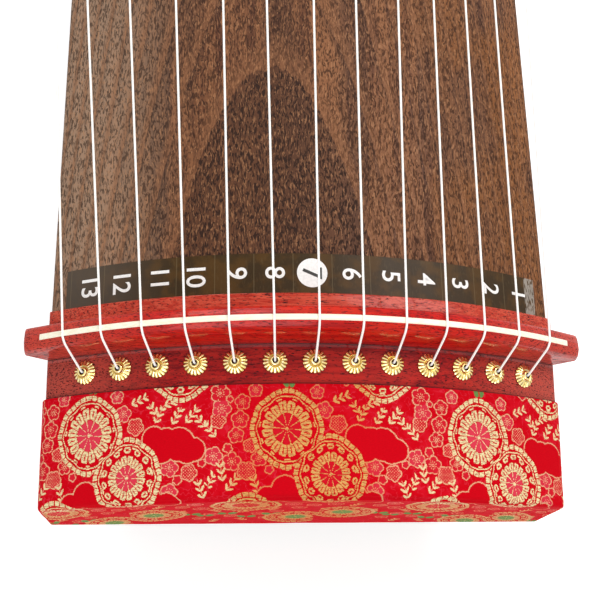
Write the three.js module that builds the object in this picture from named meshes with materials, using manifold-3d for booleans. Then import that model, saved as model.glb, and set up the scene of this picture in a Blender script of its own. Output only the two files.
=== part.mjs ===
// Koto: a thirteen-string zither on four feet, in millimetres, +Z up.
// The head end points to -Y and the tail end to +Y. The origin is on the floor, under the middle of the whole
// length. While it is built, "along" is the distance from the crest of the head ridge towards the tail,
// "across" is the distance from the middle plane, and heights are measured from the floor.

import * as THREE from 'three';
import { mergeVertices } from 'three/addons/utils/BufferGeometryUtils.js';
import Module from 'manifold-3d';

const wasm = await Module();
wasm.setup();

// Driving sizes of the body
const ridgeSpan = 1640;           // crest of the head ridge to crest of the tail ridge
const headReach = 74.8;           // from the head ridge's crest forward to the head end
const tailReach = 100;            // from the tail ridge's crest on to the tail end
const headHalfWidth = 126.6;
const tailTaper = 5.1;            // how much each side draws in on its way to the tail ridge
const tailHalfWidth = headHalfWidth - tailTaper;
const crownRadius = 241.3;        // the board's curve across
const crownHeight = 142;          // board's crown above the floor, under the head ridge
const tailDrop = 36;              // how much lower the crown is under the tail ridge
const archRise = 18;              // rise of the lengthwise arch between the ridges
const sideHeight = 46.5;
const crownWall = 20;
const sideWall = 14;
const lipWall = 6;                // what is left of the side wall beside the back board
const endLean = 2.8;              // the foot of the head end stands forward of its top
const backThickness = 9;
const seatGap = 0.3;              // glue line between seated pieces
const cutOverrun = 5;

// Driving sizes of the strings
const stringCount = 13;
const stringRadius = 0.7;
const ridgeStringMargin = 23.43;  // from the outer strings to the head ridge's ends, along its crest
const rosetteMargin = 22.05;      // from the outer rosettes to the plate's edges
const tailStringMargin = 16.2;
const tailHoleMargin = 21.7;
const holeRadius = 2;
const knotRadius = 2.4;
const stringFallAtFront = 4.6;    // how far under the ridge's crest a string lies over the foot of its front
const stringFallAtBend = 1.9;
const tailStringSink = 4;         // how far the strings run under the shell's wall inside the tail

// Hardwood plate on the head
const plateRear = 17.6;           // its rear edge, behind the ridge's crest
const plateRise = 2.9;            // its face above the board, under the ridge's crest
const plateFall = 10.3;           // how far its face falls over plateFallRun towards the head
const plateFallRun = 93.3;
const plateFlattening = 6.6;      // how much wider than the board its face is curved across
const plateRadius = crownRadius + plateFlattening;
const plateFrontThickness = 3.5;
const rosetteAlong = -14.96;      // the row of string holes

// Ridges
const ridgeCrestRise = 22.3;      // crest of the strip above the board
const ridgeTightening = 1;        // how much tighter than the board its crest is curved
const ridgeCrestRadius = crownRadius - ridgeTightening;
const ridgeOverhang = 9.7;        // of each end beyond the board's side
const ridgeHalfLength = headHalfWidth + ridgeOverhang;
const ridgeFrontDepth = 6.55;     // crest to the foot of the steep front face
const ridgeRearDepth = 8.2;       // crest to the foot of the rear face
const ridgeTipThickness = 6.6;    // at its ends: the underside rises to them beyond the board's side
const ridgeTipShare = 0.87;       // of both depths, under the ends
const stripWidth = 2.9;
const stripDepth = 3.4;
const stripInset = 8.1;           // from each end of a ridge to its strip
const stripEase = 0.5;            // rounding of the strip's upper edges
const tailRidgeCrestRise = 19.5;
const tailRidgeOverhang = 5.5;
const tailRidgeHalfLength = tailHalfWidth + tailRidgeOverhang;

// Tail plate and cap
const tailPlateFront = 22;        // its front edge, ahead of the tail ridge's crest
const tailPlateThickness = 3.2;
const tailHoleAlong = 22;         // tail ridge's crest to the row of tail holes
const collarRadius = 4.6;
const collarHeight = 1.8;
const capThickness = 6;
const capLength = 44;
const capLobeDepth = 11;
const capApron = 8;
const capEdgeEase = 2.5;

// Bridges
const bridgeHeight = 56;          // middle of the string above the board
const bridgeSpread = 46;          // over both feet
const lastBridgeReach = 19;       // outer foot of the last bridge, shortened to stay on the board
const bridgeFootLength = 13;      // along the string
const bridgeTopLength = 4.2;
const bridgeNeckHalfWidth = 3.4;
const bridgeTipHalfWidth = 2.6;
const grooveHalfWidth = 1.7;
const grooveDepth = 0.7;
const bridgeToeHeight = 4;
const bridgeFootWidth = 10;
const bridgeArchHeight = 27;
const longestString = 1120;       // head ridge to the bridge of the lowest string

// Rosettes
const rosetteRadius = 5.7;
const rosetteRim = 0.8;
const rosetteFluteDepth = 0.55;
const nozzleFootRadius = 2.7;
const nozzleTopRadius = 1.9;
const nozzleBore = 1.15;
const nozzleHeight = 3.3;

// Head end
const endBoardThickness = 8;
const endBoardInset = 5;
const rimWidth = 7;
const rimThickness = 4;
const rimMargin = 5;
const tongueHalfWidth = 62;
const tongueHeight = 11;
const tongueThickness = 3.6;

// Brocade cover
const coverThickness = 1.5;
const coverRear = -25.6;          // its rear edge, in front of the ridge's crest
const coverHemLift = 0.6;         // its lower hem stops short of the underside

// Number label
const labelFront = 18.4;
const labelRear = 38.6;
const labelInset = 7.6;           // from the board's sides
const labelHalfWidth = headHalfWidth - labelInset;
const labelThickness = 0.4;

// Braces, sound holes and feet
const braceThickness = 8;
const braceHoleMargin = 5;        // of wood over and under a brace's hole
const soundHoleAcross = 110;
const soundHoleAlong = 64;
const soundHoleCorner = 26;
const headSoundHole = 128;        // its middle
const tailSoundHoleInset = 128;   // its middle, ahead of the tail ridge's crest
const tailSoundHoleAcross = 90;
const tailSoundHoleAlong = 52;
const frontLegAlong = 34;
const rearFootInset = 44;         // ahead of the tail ridge's crest
const legInset = 38.6;            // from the board's sides to the middles of the feet
const legAcross = headHalfWidth - legInset;
const frontLegLength = 34;
const frontLegWidth = 30;
const rearFootLength = 30;
const rearFootWidth = 26;
const legKneeSwell = 6;

// Counts of facets
const crownFacets = 14;
const innerFacets = 10;
const spanStations = 10;
const ridgeFacets = 16;
const rosetteFacets = 20;
const tubeSides = 5;
const drillSides = 6;
const collarSides = 8;
const braceHoleSides = 16;
const soundHoleFacets = 6;        // in each rounded corner
const capFacets = 24;
const capLobes = 3;
const bridgeFacets = 5;
const footSides = 10;

// Shares of the bridge's height
const neckShare = 0.84;
const forkShare = 0.34;
const archShoulderShare = 0.86;
const frontBendShare = 0.7;       // where a string bends over a ridge's shoulder, of the ridge's front depth

// Materials
const finish = (color, roughness, metalness = 0) =>
  new THREE.MeshStandardMaterial({ color, roughness, metalness });
const scorchedWood = finish(0x4a3326, 0.62);
const redWood = finish(0x9b2f22, 0.35);
const paleWood = finish(0xb08a5e, 0.7);
const ivory = finish(0xf6efdc, 0.4);
const gold = finish(0xd9b45a, 0.3, 1);
const silkString = finish(0xf7f5ef, 0.5);
const bridgeWhite = finish(0xf4f1e8, 0.35);
const brocade = finish(0xc0141c, 0.8);
const darkFilm = finish(0x3a332b, 0.3);

const koto = new THREE.Group();

// Shapes of the body

const crownAt = along => crownHeight - tailDrop * along / ridgeSpan
  + archRise * (1 - (2 * along / ridgeSpan - 1) ** 2);
const halfWidthAt = along => headHalfWidth - tailTaper * Math.max(0, along) / ridgeSpan;
const sagAt = (radius, across) => radius - Math.sqrt(radius * radius - across * across);
const baseAt = along => crownAt(along) - sagAt(crownRadius, halfWidthAt(along)) - sideHeight;

const plateSlope = plateFall / plateFallRun;
const plateFaceAt = along => crownAt(0) + plateRise + plateSlope * along;
const seatFront = plateFaceAt(-headReach) - plateFrontThickness;
const seatAt = along => crownAt(plateRear)
  + (seatFront - crownAt(plateRear)) * (plateRear - along) / (plateRear + headReach);
// The underside of the shell's arched wall, which ends at its side walls.
function hollowTopAt(along, across) {
  const reach = Math.min(Math.abs(across), halfWidthAt(along) - sideWall);
  return crownAt(along) - crownWall - sagAt(crownRadius - crownWall, reach);
}
const shellCrownAt = along => (along < plateRear ? seatAt(along) : crownAt(along));

const tailEnd = ridgeSpan + tailReach;
const tailPlateFaceAt = along => crownAt(along) + seatGap + tailPlateThickness;
const slopeAt = along => (crownAt(along + stringRadius) - crownAt(along - stringRadius)) / (2 * stringRadius);

// Places spaced evenly along an arc across the body, from left to right and how far under its crown each lies.
function arcAcross(radius, halfWidth, facets) {
  const reach = Math.asin(halfWidth / radius);
  return Array.from({ length: facets + 1 }, (_, i) => {
    const angle = reach * (2 * i / facets - 1);
    return { across: radius * Math.sin(angle), drop: radius * (1 - Math.cos(angle)) };
  });
}

// General solids

// Area on the left of a closed outline.
function outlineArea(outline) {
  return outline.reduce((sum, a, i) => {
    const b = outline[(i + 1) % outline.length];
    return sum + (a.x * b.y - b.x * a.y) / 2;
  }, 0);
}

// Turns the faces of a closed mesh outwards.
function outward(geometry) {
  const index = geometry.index.array;
  const corner = i => new THREE.Vector3().fromBufferAttribute(geometry.attributes.position, index[i]);
  let volume = 0;
  for (let i = 0; i < index.length; i += 3) {
    volume += corner(i).dot(corner(i + 1).cross(corner(i + 2)));
  }
  if (volume < 0) {
    for (let i = 0; i < index.length; i += 3) {
      [index[i], index[i + 1]] = [index[i + 1], index[i]];
    }
  }
  return geometry;
}

// A closed mesh with its shared vertices merged and only its positions kept.
function closed(geometry) {
  geometry.deleteAttribute('normal');
  geometry.deleteAttribute('uv');
  return outward(mergeVertices(geometry));
}

// A solid through a row of rings with as many points each; flat gives a point's place in its ring's plane.
function loft(rings, flat) {
  const count = rings[0].length;
  const faces = [];
  rings.slice(1).forEach((_, r) => {
    for (let i = 0; i < count; i += 1) {
      const a = r * count + i;
      const b = r * count + (i + 1) % count;
      faces.push(a, b, b + count, a, b + count, a + count);
    }
  });
  [0, rings.length - 1].forEach(r => {
    const outline = rings[r].map(flat);
    const turn = Math.sign(outlineArea(outline));
    THREE.ShapeUtils.triangulateShape(outline, []).forEach(([a, b, c]) => {
      const sameTurn = Math.sign(outlineArea([outline[a], outline[b], outline[c]])) === turn;
      const face = sameTurn === (r > 0) ? [a, b, c] : [c, b, a];
      faces.push(...face.map(i => r * count + i));
    });
  });
  const geometry = new THREE.BufferGeometry();
  const places = rings.flat().flatMap(point => [point.x, point.y, point.z]);
  geometry.setAttribute('position', new THREE.Float32BufferAttribute(places, 3));
  geometry.setIndex(faces);
  return outward(geometry);
}

const seenAlong = point => new THREE.Vector2(point.x, point.z);
const seenAcross = point => new THREE.Vector2(point.y, point.z);
const seenAbove = point => new THREE.Vector2(point.x, point.y);

function toSolid(geometry) {
  const mesh = new wasm.Mesh({
    numProp: 3,
    vertProperties: Float32Array.from(geometry.attributes.position.array),
    triVerts: Uint32Array.from(geometry.index.array),
  });
  return new wasm.Manifold(mesh);
}

function toGeometry(solid) {
  const mesh = solid.getMesh();
  const geometry = new THREE.BufferGeometry();
  geometry.setAttribute('position', new THREE.BufferAttribute(mesh.vertProperties, 3));
  geometry.setIndex(new THREE.BufferAttribute(mesh.triVerts, 1));
  return geometry;
}

const cut = (geometry, tools) =>
  toGeometry(tools.reduce((solid, tool) => solid.subtract(toSolid(tool)), toSolid(geometry)));
const join = (geometry, extras) =>
  toGeometry(extras.reduce((solid, extra) => solid.add(toSolid(extra)), toSolid(geometry)));

function piece(name, geometry, material) {
  const mesh = new THREE.Mesh(geometry, material);
  mesh.name = name;
  koto.add(mesh);
  return mesh;
}

// A circle as a polygon, at a height over the outline's zero.
function roundOutline(radius, sides, height = 0) {
  return Array.from({ length: sides }, (_, i) => {
    const angle = Math.PI * 2 * i / sides;
    return new THREE.Vector2(radius * Math.cos(angle), height + radius * Math.sin(angle));
  });
}

// A straight round cutter or peg, centred on a point and standing along a direction.
function rod(point, direction, radius, length, sides) {
  const geometry = closed(new THREE.CylinderGeometry(radius, radius, length, sides));
  geometry.applyQuaternion(new THREE.Quaternion().setFromUnitVectors(new THREE.Vector3(0, 1, 0), direction));
  geometry.translate(point.x, point.y, point.z);
  return geometry;
}

// The surface normal of an arched face at a place across it, where it climbs by slope along the body.
function faceNormal(radius, across, slope) {
  const rise = across / Math.sqrt(radius * radius - across * across);
  return new THREE.Vector3(rise, -slope, 1).normalize();
}

// String places

// Between neighbouring strings, along a curve across the body that ends a margin beyond the outer strings.
const pitchAcross = (radius, halfWidth, margin) =>
  (radius * Math.asin(halfWidth / radius) - margin) * 2 / (stringCount - 1);
const ridgePitch = pitchAcross(ridgeCrestRadius, ridgeHalfLength, ridgeStringMargin);
const rosettePitch = pitchAcross(plateRadius, headHalfWidth, rosetteMargin);
const tailPitch = pitchAcross(ridgeCrestRadius, tailRidgeHalfLength, tailStringMargin);
const tailHolePitch = pitchAcross(crownRadius, tailHalfWidth, tailHoleMargin);

// Offset of a string from the middle string, in pitches: string 1 is at +X, string 13 at -X.
const stringOffset = index => (stringCount - 1) / 2 - index;
const two = number => String(number).padStart(2, '0');

// A point on an arched face, at a distance measured along its curve, and the normal there.
function faceSpot(radius, crown, along, arc, slope) {
  const angle = arc / radius;
  const across = radius * Math.sin(angle);
  const point = new THREE.Vector3(across, along, crown - radius * (1 - Math.cos(angle)));
  return { point, normal: faceNormal(radius, across, slope) };
}

function headHoleSpot(index) {
  const arc = stringOffset(index) * rosettePitch;
  return faceSpot(plateRadius, plateFaceAt(rosetteAlong), rosetteAlong, arc, plateSlope);
}

function tailHoleSpot(index) {
  const along = ridgeSpan + tailHoleAlong;
  const arc = stringOffset(index) * tailHolePitch;
  return faceSpot(crownRadius, tailPlateFaceAt(along), along, arc, slopeAt(along));
}

// The bridges stand where they sound the usual pentatonic tuning, in half tones over the lowest string.
const tuningHalfTones = [7, 0, 2, 3, 7, 8, 12, 14, 15, 19, 20, 24, 26];
const octaveHalfTones = 12;
const bridgeAlong = index => longestString * 2 ** (-tuningHalfTones[index] / octaveHalfTones);
// Their places across the board, as shares of the string pitch at the head ridge.
const bridgeAcrossShares = [5.25, 4.4, 3.65, 3.05, 2.1, 0.95, -0.05, -1.2, -2.1, -3.1, -4.15, -4.9, -5.45];

function bridgeSpot(index) {
  const along = bridgeAlong(index);
  const arc = bridgeAcrossShares[index] * ridgePitch;
  return faceSpot(crownRadius, crownAt(along), along, arc, slopeAt(along));
}

const above = (spot, height) => spot.point.clone().addScaledVector(spot.normal, height);

// Shell

const shellStations = [
  -headReach,
  plateRear,
  ...Array.from({ length: spanStations }, (_, i) => ridgeSpan * (i + 1) / spanStations),
  tailEnd,
];

function shellRing(along) {
  const halfWidth = halfWidthAt(along);
  const crown = shellCrownAt(along);
  const base = baseAt(along);
  const ledge = base + backThickness + seatGap;
  const innerHalf = halfWidth - sideWall;
  const innerCrown = crownAt(along) - crownWall;
  const outline = [
    ...arcAcross(crownRadius, halfWidth, crownFacets).map(({ across, drop }) => [across, crown - drop]),
    [halfWidth, base],
    [halfWidth - lipWall, base],
    [halfWidth - lipWall, ledge],
    [innerHalf, ledge],
    ...arcAcross(crownRadius - crownWall, innerHalf, innerFacets).reverse()
      .map(({ across, drop }) => [across, innerCrown - drop]),
    [-innerHalf, ledge],
    [lipWall - halfWidth, ledge],
    [lipWall - halfWidth, base],
    [-halfWidth, base],
  ];
  const lean = along < 0 ? endLean : 0;
  return outline.map(([across, height]) => {
    const forward = lean * (crown - height) / (crown - base);
    return new THREE.Vector3(across, along - forward, height);
  });
}

const headDrills = Array.from({ length: stringCount }, (_, index) => {
  const { point, normal } = headHoleSpot(index);
  return rod(point, normal, holeRadius, 2 * (plateRise + crownWall + cutOverrun * 2), drillSides);
});
const tailDrills = Array.from({ length: stringCount }, (_, index) => {
  const { point, normal } = tailHoleSpot(index);
  return rod(point, normal, holeRadius, 2 * (tailPlateThickness + crownWall + cutOverrun), drillSides);
});

piece('soundboard_shell', cut(loft(shellStations.map(shellRing), seenAlong), [...headDrills, ...tailDrills]),
  scorchedWood);

// Back board, with a sound hole near each end

function backRing(along) {
  const halfWidth = halfWidthAt(along) - lipWall - seatGap;
  const base = baseAt(along);
  return [
    new THREE.Vector3(-halfWidth, along, base),
    new THREE.Vector3(halfWidth, along, base),
    new THREE.Vector3(halfWidth, along, base + backThickness),
    new THREE.Vector3(-halfWidth, along, base + backThickness),
  ];
}

function roundedBox(across, along, corner) {
  const shape = new THREE.Shape();
  const x = across / 2;
  const y = along / 2;
  shape.moveTo(-x + corner, -y);
  shape.lineTo(x - corner, -y);
  shape.absarc(x - corner, corner - y, corner, -Math.PI / 2, 0, false);
  shape.lineTo(x, y - corner);
  shape.absarc(x - corner, y - corner, corner, 0, Math.PI / 2, false);
  shape.lineTo(corner - x, y);
  shape.absarc(corner - x, y - corner, corner, Math.PI / 2, Math.PI, false);
  shape.lineTo(-x, corner - y);
  shape.absarc(corner - x, corner - y, corner, Math.PI, Math.PI * 1.5, false);
  return shape;
}

function soundHole(middle, across, along) {
  const depth = backThickness + cutOverrun * 2;
  const shape = roundedBox(across, along, soundHoleCorner);
  const options = { depth, bevelEnabled: false, curveSegments: soundHoleFacets };
  const tool = closed(new THREE.ExtrudeGeometry(shape, options));
  tool.translate(0, middle, baseAt(middle) - cutOverrun);
  return tool;
}

const backStations = [
  endBoardInset + seatGap - headReach,
  ...Array.from({ length: spanStations + 1 }, (_, i) => ridgeSpan * i / spanStations),
  tailEnd - seatGap,
];
piece('back_board', cut(loft(backStations.map(backRing), seenAlong), [
  soundHole(headSoundHole, soundHoleAcross, soundHoleAlong),
  soundHole(ridgeSpan - tailSoundHoleInset, tailSoundHoleAcross, tailSoundHoleAlong),
]), paleWood);

// Cross boards inside, each with a round hole

// The outline of the hollow over the back board, drawn in by a clearance.
function hollowOutline(along, clearance) {
  const innerHalf = halfWidthAt(along) - sideWall - clearance;
  const innerCrown = crownAt(along) - crownWall - clearance;
  const arc = arcAcross(crownRadius - crownWall, innerHalf, innerFacets);
  const floor = baseAt(along) + backThickness + clearance;
  return [
    [-innerHalf, floor],
    ...arc.map(({ across, drop }) => [across, innerCrown - drop]),
    [innerHalf, floor],
  ];
}

function brace(along) {
  const outline = hollowOutline(along, seatGap).map(([x, z]) => new THREE.Vector2(x, z));
  const shape = new THREE.Shape(outline);
  const roof = crownAt(along) - crownWall;
  const floor = baseAt(along) + backThickness;
  const openRadius = (roof - floor) / 2 - braceHoleMargin;
  shape.holes.push(new THREE.Path(roundOutline(openRadius, braceHoleSides, (roof + floor) / 2)));
  const geometry = closed(new THREE.ExtrudeGeometry(shape, { depth: braceThickness, bevelEnabled: false }));
  geometry.rotateX(Math.PI / 2);
  geometry.translate(0, along + braceThickness / 2, 0);
  return geometry;
}

const braceStations = { head_brace: 2, middle_brace: 5, tail_brace: 8 };
Object.entries(braceStations).forEach(([name, station]) => {
  piece(name, brace(ridgeSpan * station / spanStations), paleWood);
});

// Closed head end: an end board in the hollow, with a raised rim and a tongue under the brocade cover

function upright(outline, front, thickness, holeOutline = null) {
  const shape = new THREE.Shape(outline.map(([x, z]) => new THREE.Vector2(x, z)));
  if (holeOutline) {
    shape.holes.push(new THREE.Path(holeOutline.map(([x, z]) => new THREE.Vector2(x, z)).reverse()));
  }
  const geometry = closed(new THREE.ExtrudeGeometry(shape, { depth: thickness, bevelEnabled: false }));
  geometry.rotateX(Math.PI / 2);
  geometry.translate(0, front + thickness, 0);
  return geometry;
}

const endBoardFront = endBoardInset - headReach;
const endOutline = hollowOutline(endBoardFront, seatGap);
piece('head_end_board', upright(
  [[endOutline[0][0], baseAt(-headReach) + backThickness + seatGap * 2], ...endOutline.slice(1, -1),
    [endOutline.at(-1)[0], baseAt(-headReach) + backThickness + seatGap * 2]],
  endBoardFront, endBoardThickness), paleWood);

const rimFront = endBoardFront - seatGap - rimThickness;
piece('mouth_rim', upright(hollowOutline(endBoardFront, rimMargin), rimFront, rimThickness,
  hollowOutline(endBoardFront, rimMargin + rimWidth)), redWood);

const tongueBase = baseAt(endBoardFront) + backThickness + rimMargin + rimWidth + seatGap;
const tongueOutline = [
  [-tongueHalfWidth, tongueBase],
  [tongueHalfWidth, tongueBase],
  [tongueHalfWidth, tongueBase + tongueHeight / 2],
  [tongueHalfWidth - tongueHeight / 2, tongueBase + tongueHeight],
  [tongueHeight / 2 - tongueHalfWidth, tongueBase + tongueHeight],
  [-tongueHalfWidth, tongueBase + tongueHeight / 2],
];
piece('tongue', upright(tongueOutline, endBoardFront - seatGap - tongueThickness, tongueThickness), redWood);

// Head plate

function headPlateRing(along) {
  const halfWidth = halfWidthAt(along);
  const under = seatAt(along) + seatGap;
  const face = plateFaceAt(along);
  const outline = [
    ...arcAcross(plateRadius, halfWidth, crownFacets).map(({ across, drop }) => [across, face - drop]),
    ...arcAcross(crownRadius, halfWidth, crownFacets).reverse()
      .map(({ across, drop }) => [across, under - drop]),
  ];
  return outline.map(([across, height]) => new THREE.Vector3(across, along, height));
}

piece('head_plate', cut(loft([-headReach, plateRear].map(headPlateRing), seenAlong), headDrills), redWood);

// Ridges: a moulded bar over the arch of the board, with a pale strip let into its crest

// The section of a ridge, from its rear foot over the crest to its front foot: places along as shares of its
// depth on that side, and places under the crest as shares of the ridge's rise.
const ridgeSectionShares = [
  [0.76, 0.14],
  [0.55, 0.065],
  [0.22, 0.032],
  [-0.3, 0.032],
  [-0.66, 0.12],
  [-0.86, 0.3],
];

// The steep front face looks to the head where facing is 1, and to the tail where it is -1.
function ridgeBody({ crestAlong, crest, halfLength, overhang, faceUnder, facing }) {
  const side = halfLength - overhang;
  const across = Array.from({ length: ridgeFacets + 1 }, (_, i) => side * (2 * i / ridgeFacets - 1));
  const rings = [-halfLength, ...across, halfLength].map(x => {
    const tip = Math.abs(x) > side;
    const crestHere = crest - sagAt(ridgeCrestRadius, x);
    const rise = crestHere - faceUnder(crestAlong, x);
    const spot = (depth, height) => new THREE.Vector3(x, crestAlong + facing * depth, height);
    const foot = depth => tip
      ? spot(depth * ridgeTipShare, crestHere - ridgeTipThickness)
      : spot(depth, faceUnder(crestAlong + facing * depth, x) + seatGap);
    const upper = ridgeSectionShares.map(([alongShare, downShare]) =>
      spot(alongShare * (alongShare > 0 ? ridgeRearDepth : ridgeFrontDepth), crestHere - downShare * rise));
    return [foot(ridgeRearDepth), ...upper, foot(-ridgeFrontDepth)];
  });
  return loft(rings, seenAcross);
}

function stripBody({ crestAlong, crest, halfLength, clearance }) {
  const half = stripWidth / 2 + clearance;
  const section = [
    [half, -stripDepth - clearance],
    [half, clearance * 2 - stripEase],
    [half - stripEase, clearance * 2],
    [stripEase - half, clearance * 2],
    [-half, clearance * 2 - stripEase],
    [-half, -stripDepth - clearance],
  ];
  const rings = Array.from({ length: ridgeFacets + 1 }, (_, i) => {
    const x = (halfLength + clearance) * (2 * i / ridgeFacets - 1);
    const crestHere = crest - sagAt(ridgeCrestRadius, x);
    return section.map(([along, up]) => new THREE.Vector3(x, crestAlong + along, crestHere + up));
  });
  return loft(rings, seenAcross);
}

// A ridge with its groove, and the strip in it.
function ridgeWithStrip(name, ridge) {
  const { crestAlong, crest } = ridge;
  const strip = clearance =>
    stripBody({ crestAlong, crest, halfLength: ridge.halfLength - stripInset, clearance });
  piece(name, cut(ridgeBody(ridge), [strip(seatGap)]), redWood);
  piece(`${name}_strip`, strip(0), ivory);
}

const headCrest = crownAt(0) + ridgeCrestRise;
ridgeWithStrip('head_ridge', {
  crestAlong: 0,
  crest: headCrest,
  halfLength: ridgeHalfLength,
  overhang: ridgeOverhang,
  faceUnder: (along, x) => plateFaceAt(along) - sagAt(plateRadius, x),
  facing: 1,
});

const tailCrest = crownAt(ridgeSpan) + tailRidgeCrestRise;
ridgeWithStrip('tail_ridge', {
  crestAlong: ridgeSpan,
  crest: tailCrest,
  halfLength: tailRidgeHalfLength,
  overhang: tailRidgeOverhang,
  faceUnder: (along, x) => tailPlateFaceAt(along) - sagAt(crownRadius, x),
  facing: -1,
});

// Tail plate, with a raised collar at each string hole

function tailPlateRing(along) {
  const arc = arcAcross(crownRadius, halfWidthAt(along), crownFacets);
  const face = tailPlateFaceAt(along);
  const outline = [
    ...arc.map(({ across, drop }) => [across, face - drop]),
    ...arc.slice().reverse().map(({ across, drop }) => [across, face - tailPlateThickness - drop]),
  ];
  return outline.map(([across, height]) => new THREE.Vector3(across, along, height));
}

const collars = Array.from({ length: stringCount }, (_, index) => {
  const spot = tailHoleSpot(index);
  return rod(spot.point, spot.normal, collarRadius, collarHeight * 2, collarSides);
});
const tailPlateStations = [ridgeSpan - tailPlateFront, ridgeSpan, tailEnd];
piece('tail_plate', cut(join(loft(tailPlateStations.map(tailPlateRing), seenAlong), collars), tailDrills),
  redWood);

// Tail cap: a leaf over the end of the tail plate, with an apron down the end of the shell

function capRing(x) {
  const waves = capLobes * Math.PI * x / halfWidthAt(tailEnd) / 2;
  const front = tailEnd - capLength + capLobeDepth * Math.abs(Math.sin(waves));
  const end = tailEnd + seatGap;
  const faceUnder = along => tailPlateFaceAt(along) - sagAt(crownRadius, x) + seatGap;
  const top = faceUnder(end) + capThickness;
  const foot = hollowTopAt(tailEnd, x);
  return [
    [front, faceUnder(front)],
    [end, faceUnder(end)],
    [end, foot],
    [end + capApron - capEdgeEase, foot],
    [end + capApron, foot + capEdgeEase],
    [end + capApron, top - capEdgeEase],
    [end + capApron - capEdgeEase, top],
    [front + capEdgeEase, faceUnder(front) + capThickness],
    [front, faceUnder(front) + capThickness - capEdgeEase],
  ].map(([along, height]) => new THREE.Vector3(x, along, height));
}

const capStations = Array.from({ length: capFacets + 1 }, (_, i) =>
  halfWidthAt(tailEnd) * (2 * i / capFacets - 1));
piece('tail_cap', loft(capStations.map(capRing), seenAcross), redWood);

// Rosettes: a fluted dish with a raised nozzle, over each string hole in the head plate

function rosette() {
  const section = [
    [nozzleBore, 0],
    [rosetteRadius, 0],
    [rosetteRadius, rosetteRim],
    [nozzleFootRadius, rosetteRim * 2],
    [nozzleTopRadius, nozzleHeight],
    [nozzleBore, nozzleHeight],
  ];
  const profile = [...section, section[0]].map(([radius, up]) => new THREE.Vector2(radius, up));
  const geometry = closed(new THREE.LatheGeometry(profile, rosetteFacets));
  const place = geometry.attributes.position;
  for (let i = 0; i < place.count; i += 1) {
    const radius = Math.hypot(place.getX(i), place.getZ(i));
    const turn = Math.atan2(place.getZ(i), place.getX(i)) / (Math.PI * 2) * rosetteFacets;
    if (radius > nozzleFootRadius && Math.abs(Math.round(turn)) % 2 === 1) {
      const share = 1 - rosetteFluteDepth / radius;
      place.setX(i, place.getX(i) * share);
      place.setZ(i, place.getZ(i) * share);
    }
  }
  return geometry;
}

for (let index = 0; index < stringCount; index += 1) {
  const spot = headHoleSpot(index);
  const mesh = piece(`head_rosette_${two(index + 1)}`, rosette(), gold);
  mesh.position.copy(above(spot, seatGap));
  mesh.quaternion.setFromUnitVectors(new THREE.Vector3(0, 1, 0), spot.normal);
}

// Bridges: a forked outline seen along the string, tapered from its feet to its tip

function bridgeOutline(leftReach, rightReach) {
  const shape = new THREE.Shape();
  const tip = bridgeHeight - stringRadius - seatGap;
  const neck = tip * neckShare;
  const fork = tip * forkShare;
  const under = reach => seatGap - sagAt(crownRadius, reach);
  const side = (reach, hand) => {
    const toe = [hand * reach, bridgeToeHeight + under(reach)];
    const heel = reach - bridgeFootWidth;
    return { reach, hand, toe, heel };
  };
  const right = side(rightReach, 1);
  const left = side(leftReach, -1);
  shape.moveTo(0, tip);
  shape.lineTo(-grooveHalfWidth, tip + grooveDepth);
  shape.lineTo(-bridgeTipHalfWidth, tip);
  shape.lineTo(-bridgeNeckHalfWidth, neck);
  shape.quadraticCurveTo(-bridgeNeckHalfWidth - stringRadius, fork, ...left.toe);
  shape.lineTo(-left.reach, under(left.reach));
  shape.lineTo(-left.heel, under(left.heel));
  shape.quadraticCurveTo(-bridgeNeckHalfWidth, bridgeArchHeight * archShoulderShare, 0, bridgeArchHeight);
  shape.quadraticCurveTo(bridgeNeckHalfWidth, bridgeArchHeight * archShoulderShare,
    right.heel, under(right.heel));
  shape.lineTo(right.reach, under(right.reach));
  shape.lineTo(...right.toe);
  shape.quadraticCurveTo(bridgeNeckHalfWidth + stringRadius, fork, bridgeNeckHalfWidth, neck);
  shape.lineTo(bridgeTipHalfWidth, tip);
  shape.lineTo(grooveHalfWidth, tip + grooveDepth);
  return shape;
}

function bridge(index) {
  const half = bridgeSpread / 2;
  const leftReach = index === stringCount - 1 ? lastBridgeReach : half;
  const options = { depth: bridgeFootLength, bevelEnabled: false, curveSegments: bridgeFacets };
  const geometry = closed(new THREE.ExtrudeGeometry(bridgeOutline(leftReach, half), options));
  const place = geometry.attributes.position;
  for (let i = 0; i < place.count; i += 1) {
    const climb = Math.max(0, (place.getY(i) - bridgeToeHeight) / (bridgeHeight - bridgeToeHeight));
    const length = THREE.MathUtils.lerp(bridgeFootLength, bridgeTopLength, climb);
    place.setZ(i, (place.getZ(i) - bridgeFootLength / 2) * length / bridgeFootLength);
  }
  return geometry;
}

for (let index = 0; index < stringCount; index += 1) {
  const spot = bridgeSpot(index);
  const mesh = piece(`bridge_${two(index + 1)}`, bridge(index), bridgeWhite);
  const headward = new THREE.Vector3(0, -1, -slopeAt(bridgeAlong(index))).normalize();
  const sideways = new THREE.Vector3().crossVectors(spot.normal, headward);
  mesh.position.copy(spot.point);
  mesh.quaternion.setFromRotationMatrix(new THREE.Matrix4().makeBasis(sideways, spot.normal, headward));
}

// Strings

// A path that steps straight from each of its points to the next, so that a tube has a ring at each.
class Route extends THREE.Curve {
  constructor(points) {
    super();
    this.points = points;
  }

  at(share, step = 0) {
    const last = this.points.length - 1;
    return this.points[THREE.MathUtils.clamp(Math.round(share * last) + step, 0, last)];
  }

  getPointAt(share) {
    return this.at(share).clone();
  }

  getTangentAt(share) {
    const here = this.at(share);
    const incoming = here.clone().sub(this.at(share, -1)).normalize();
    const outgoing = this.at(share, 1).clone().sub(here).normalize();
    return incoming.add(outgoing).normalize();
  }
}

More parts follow.
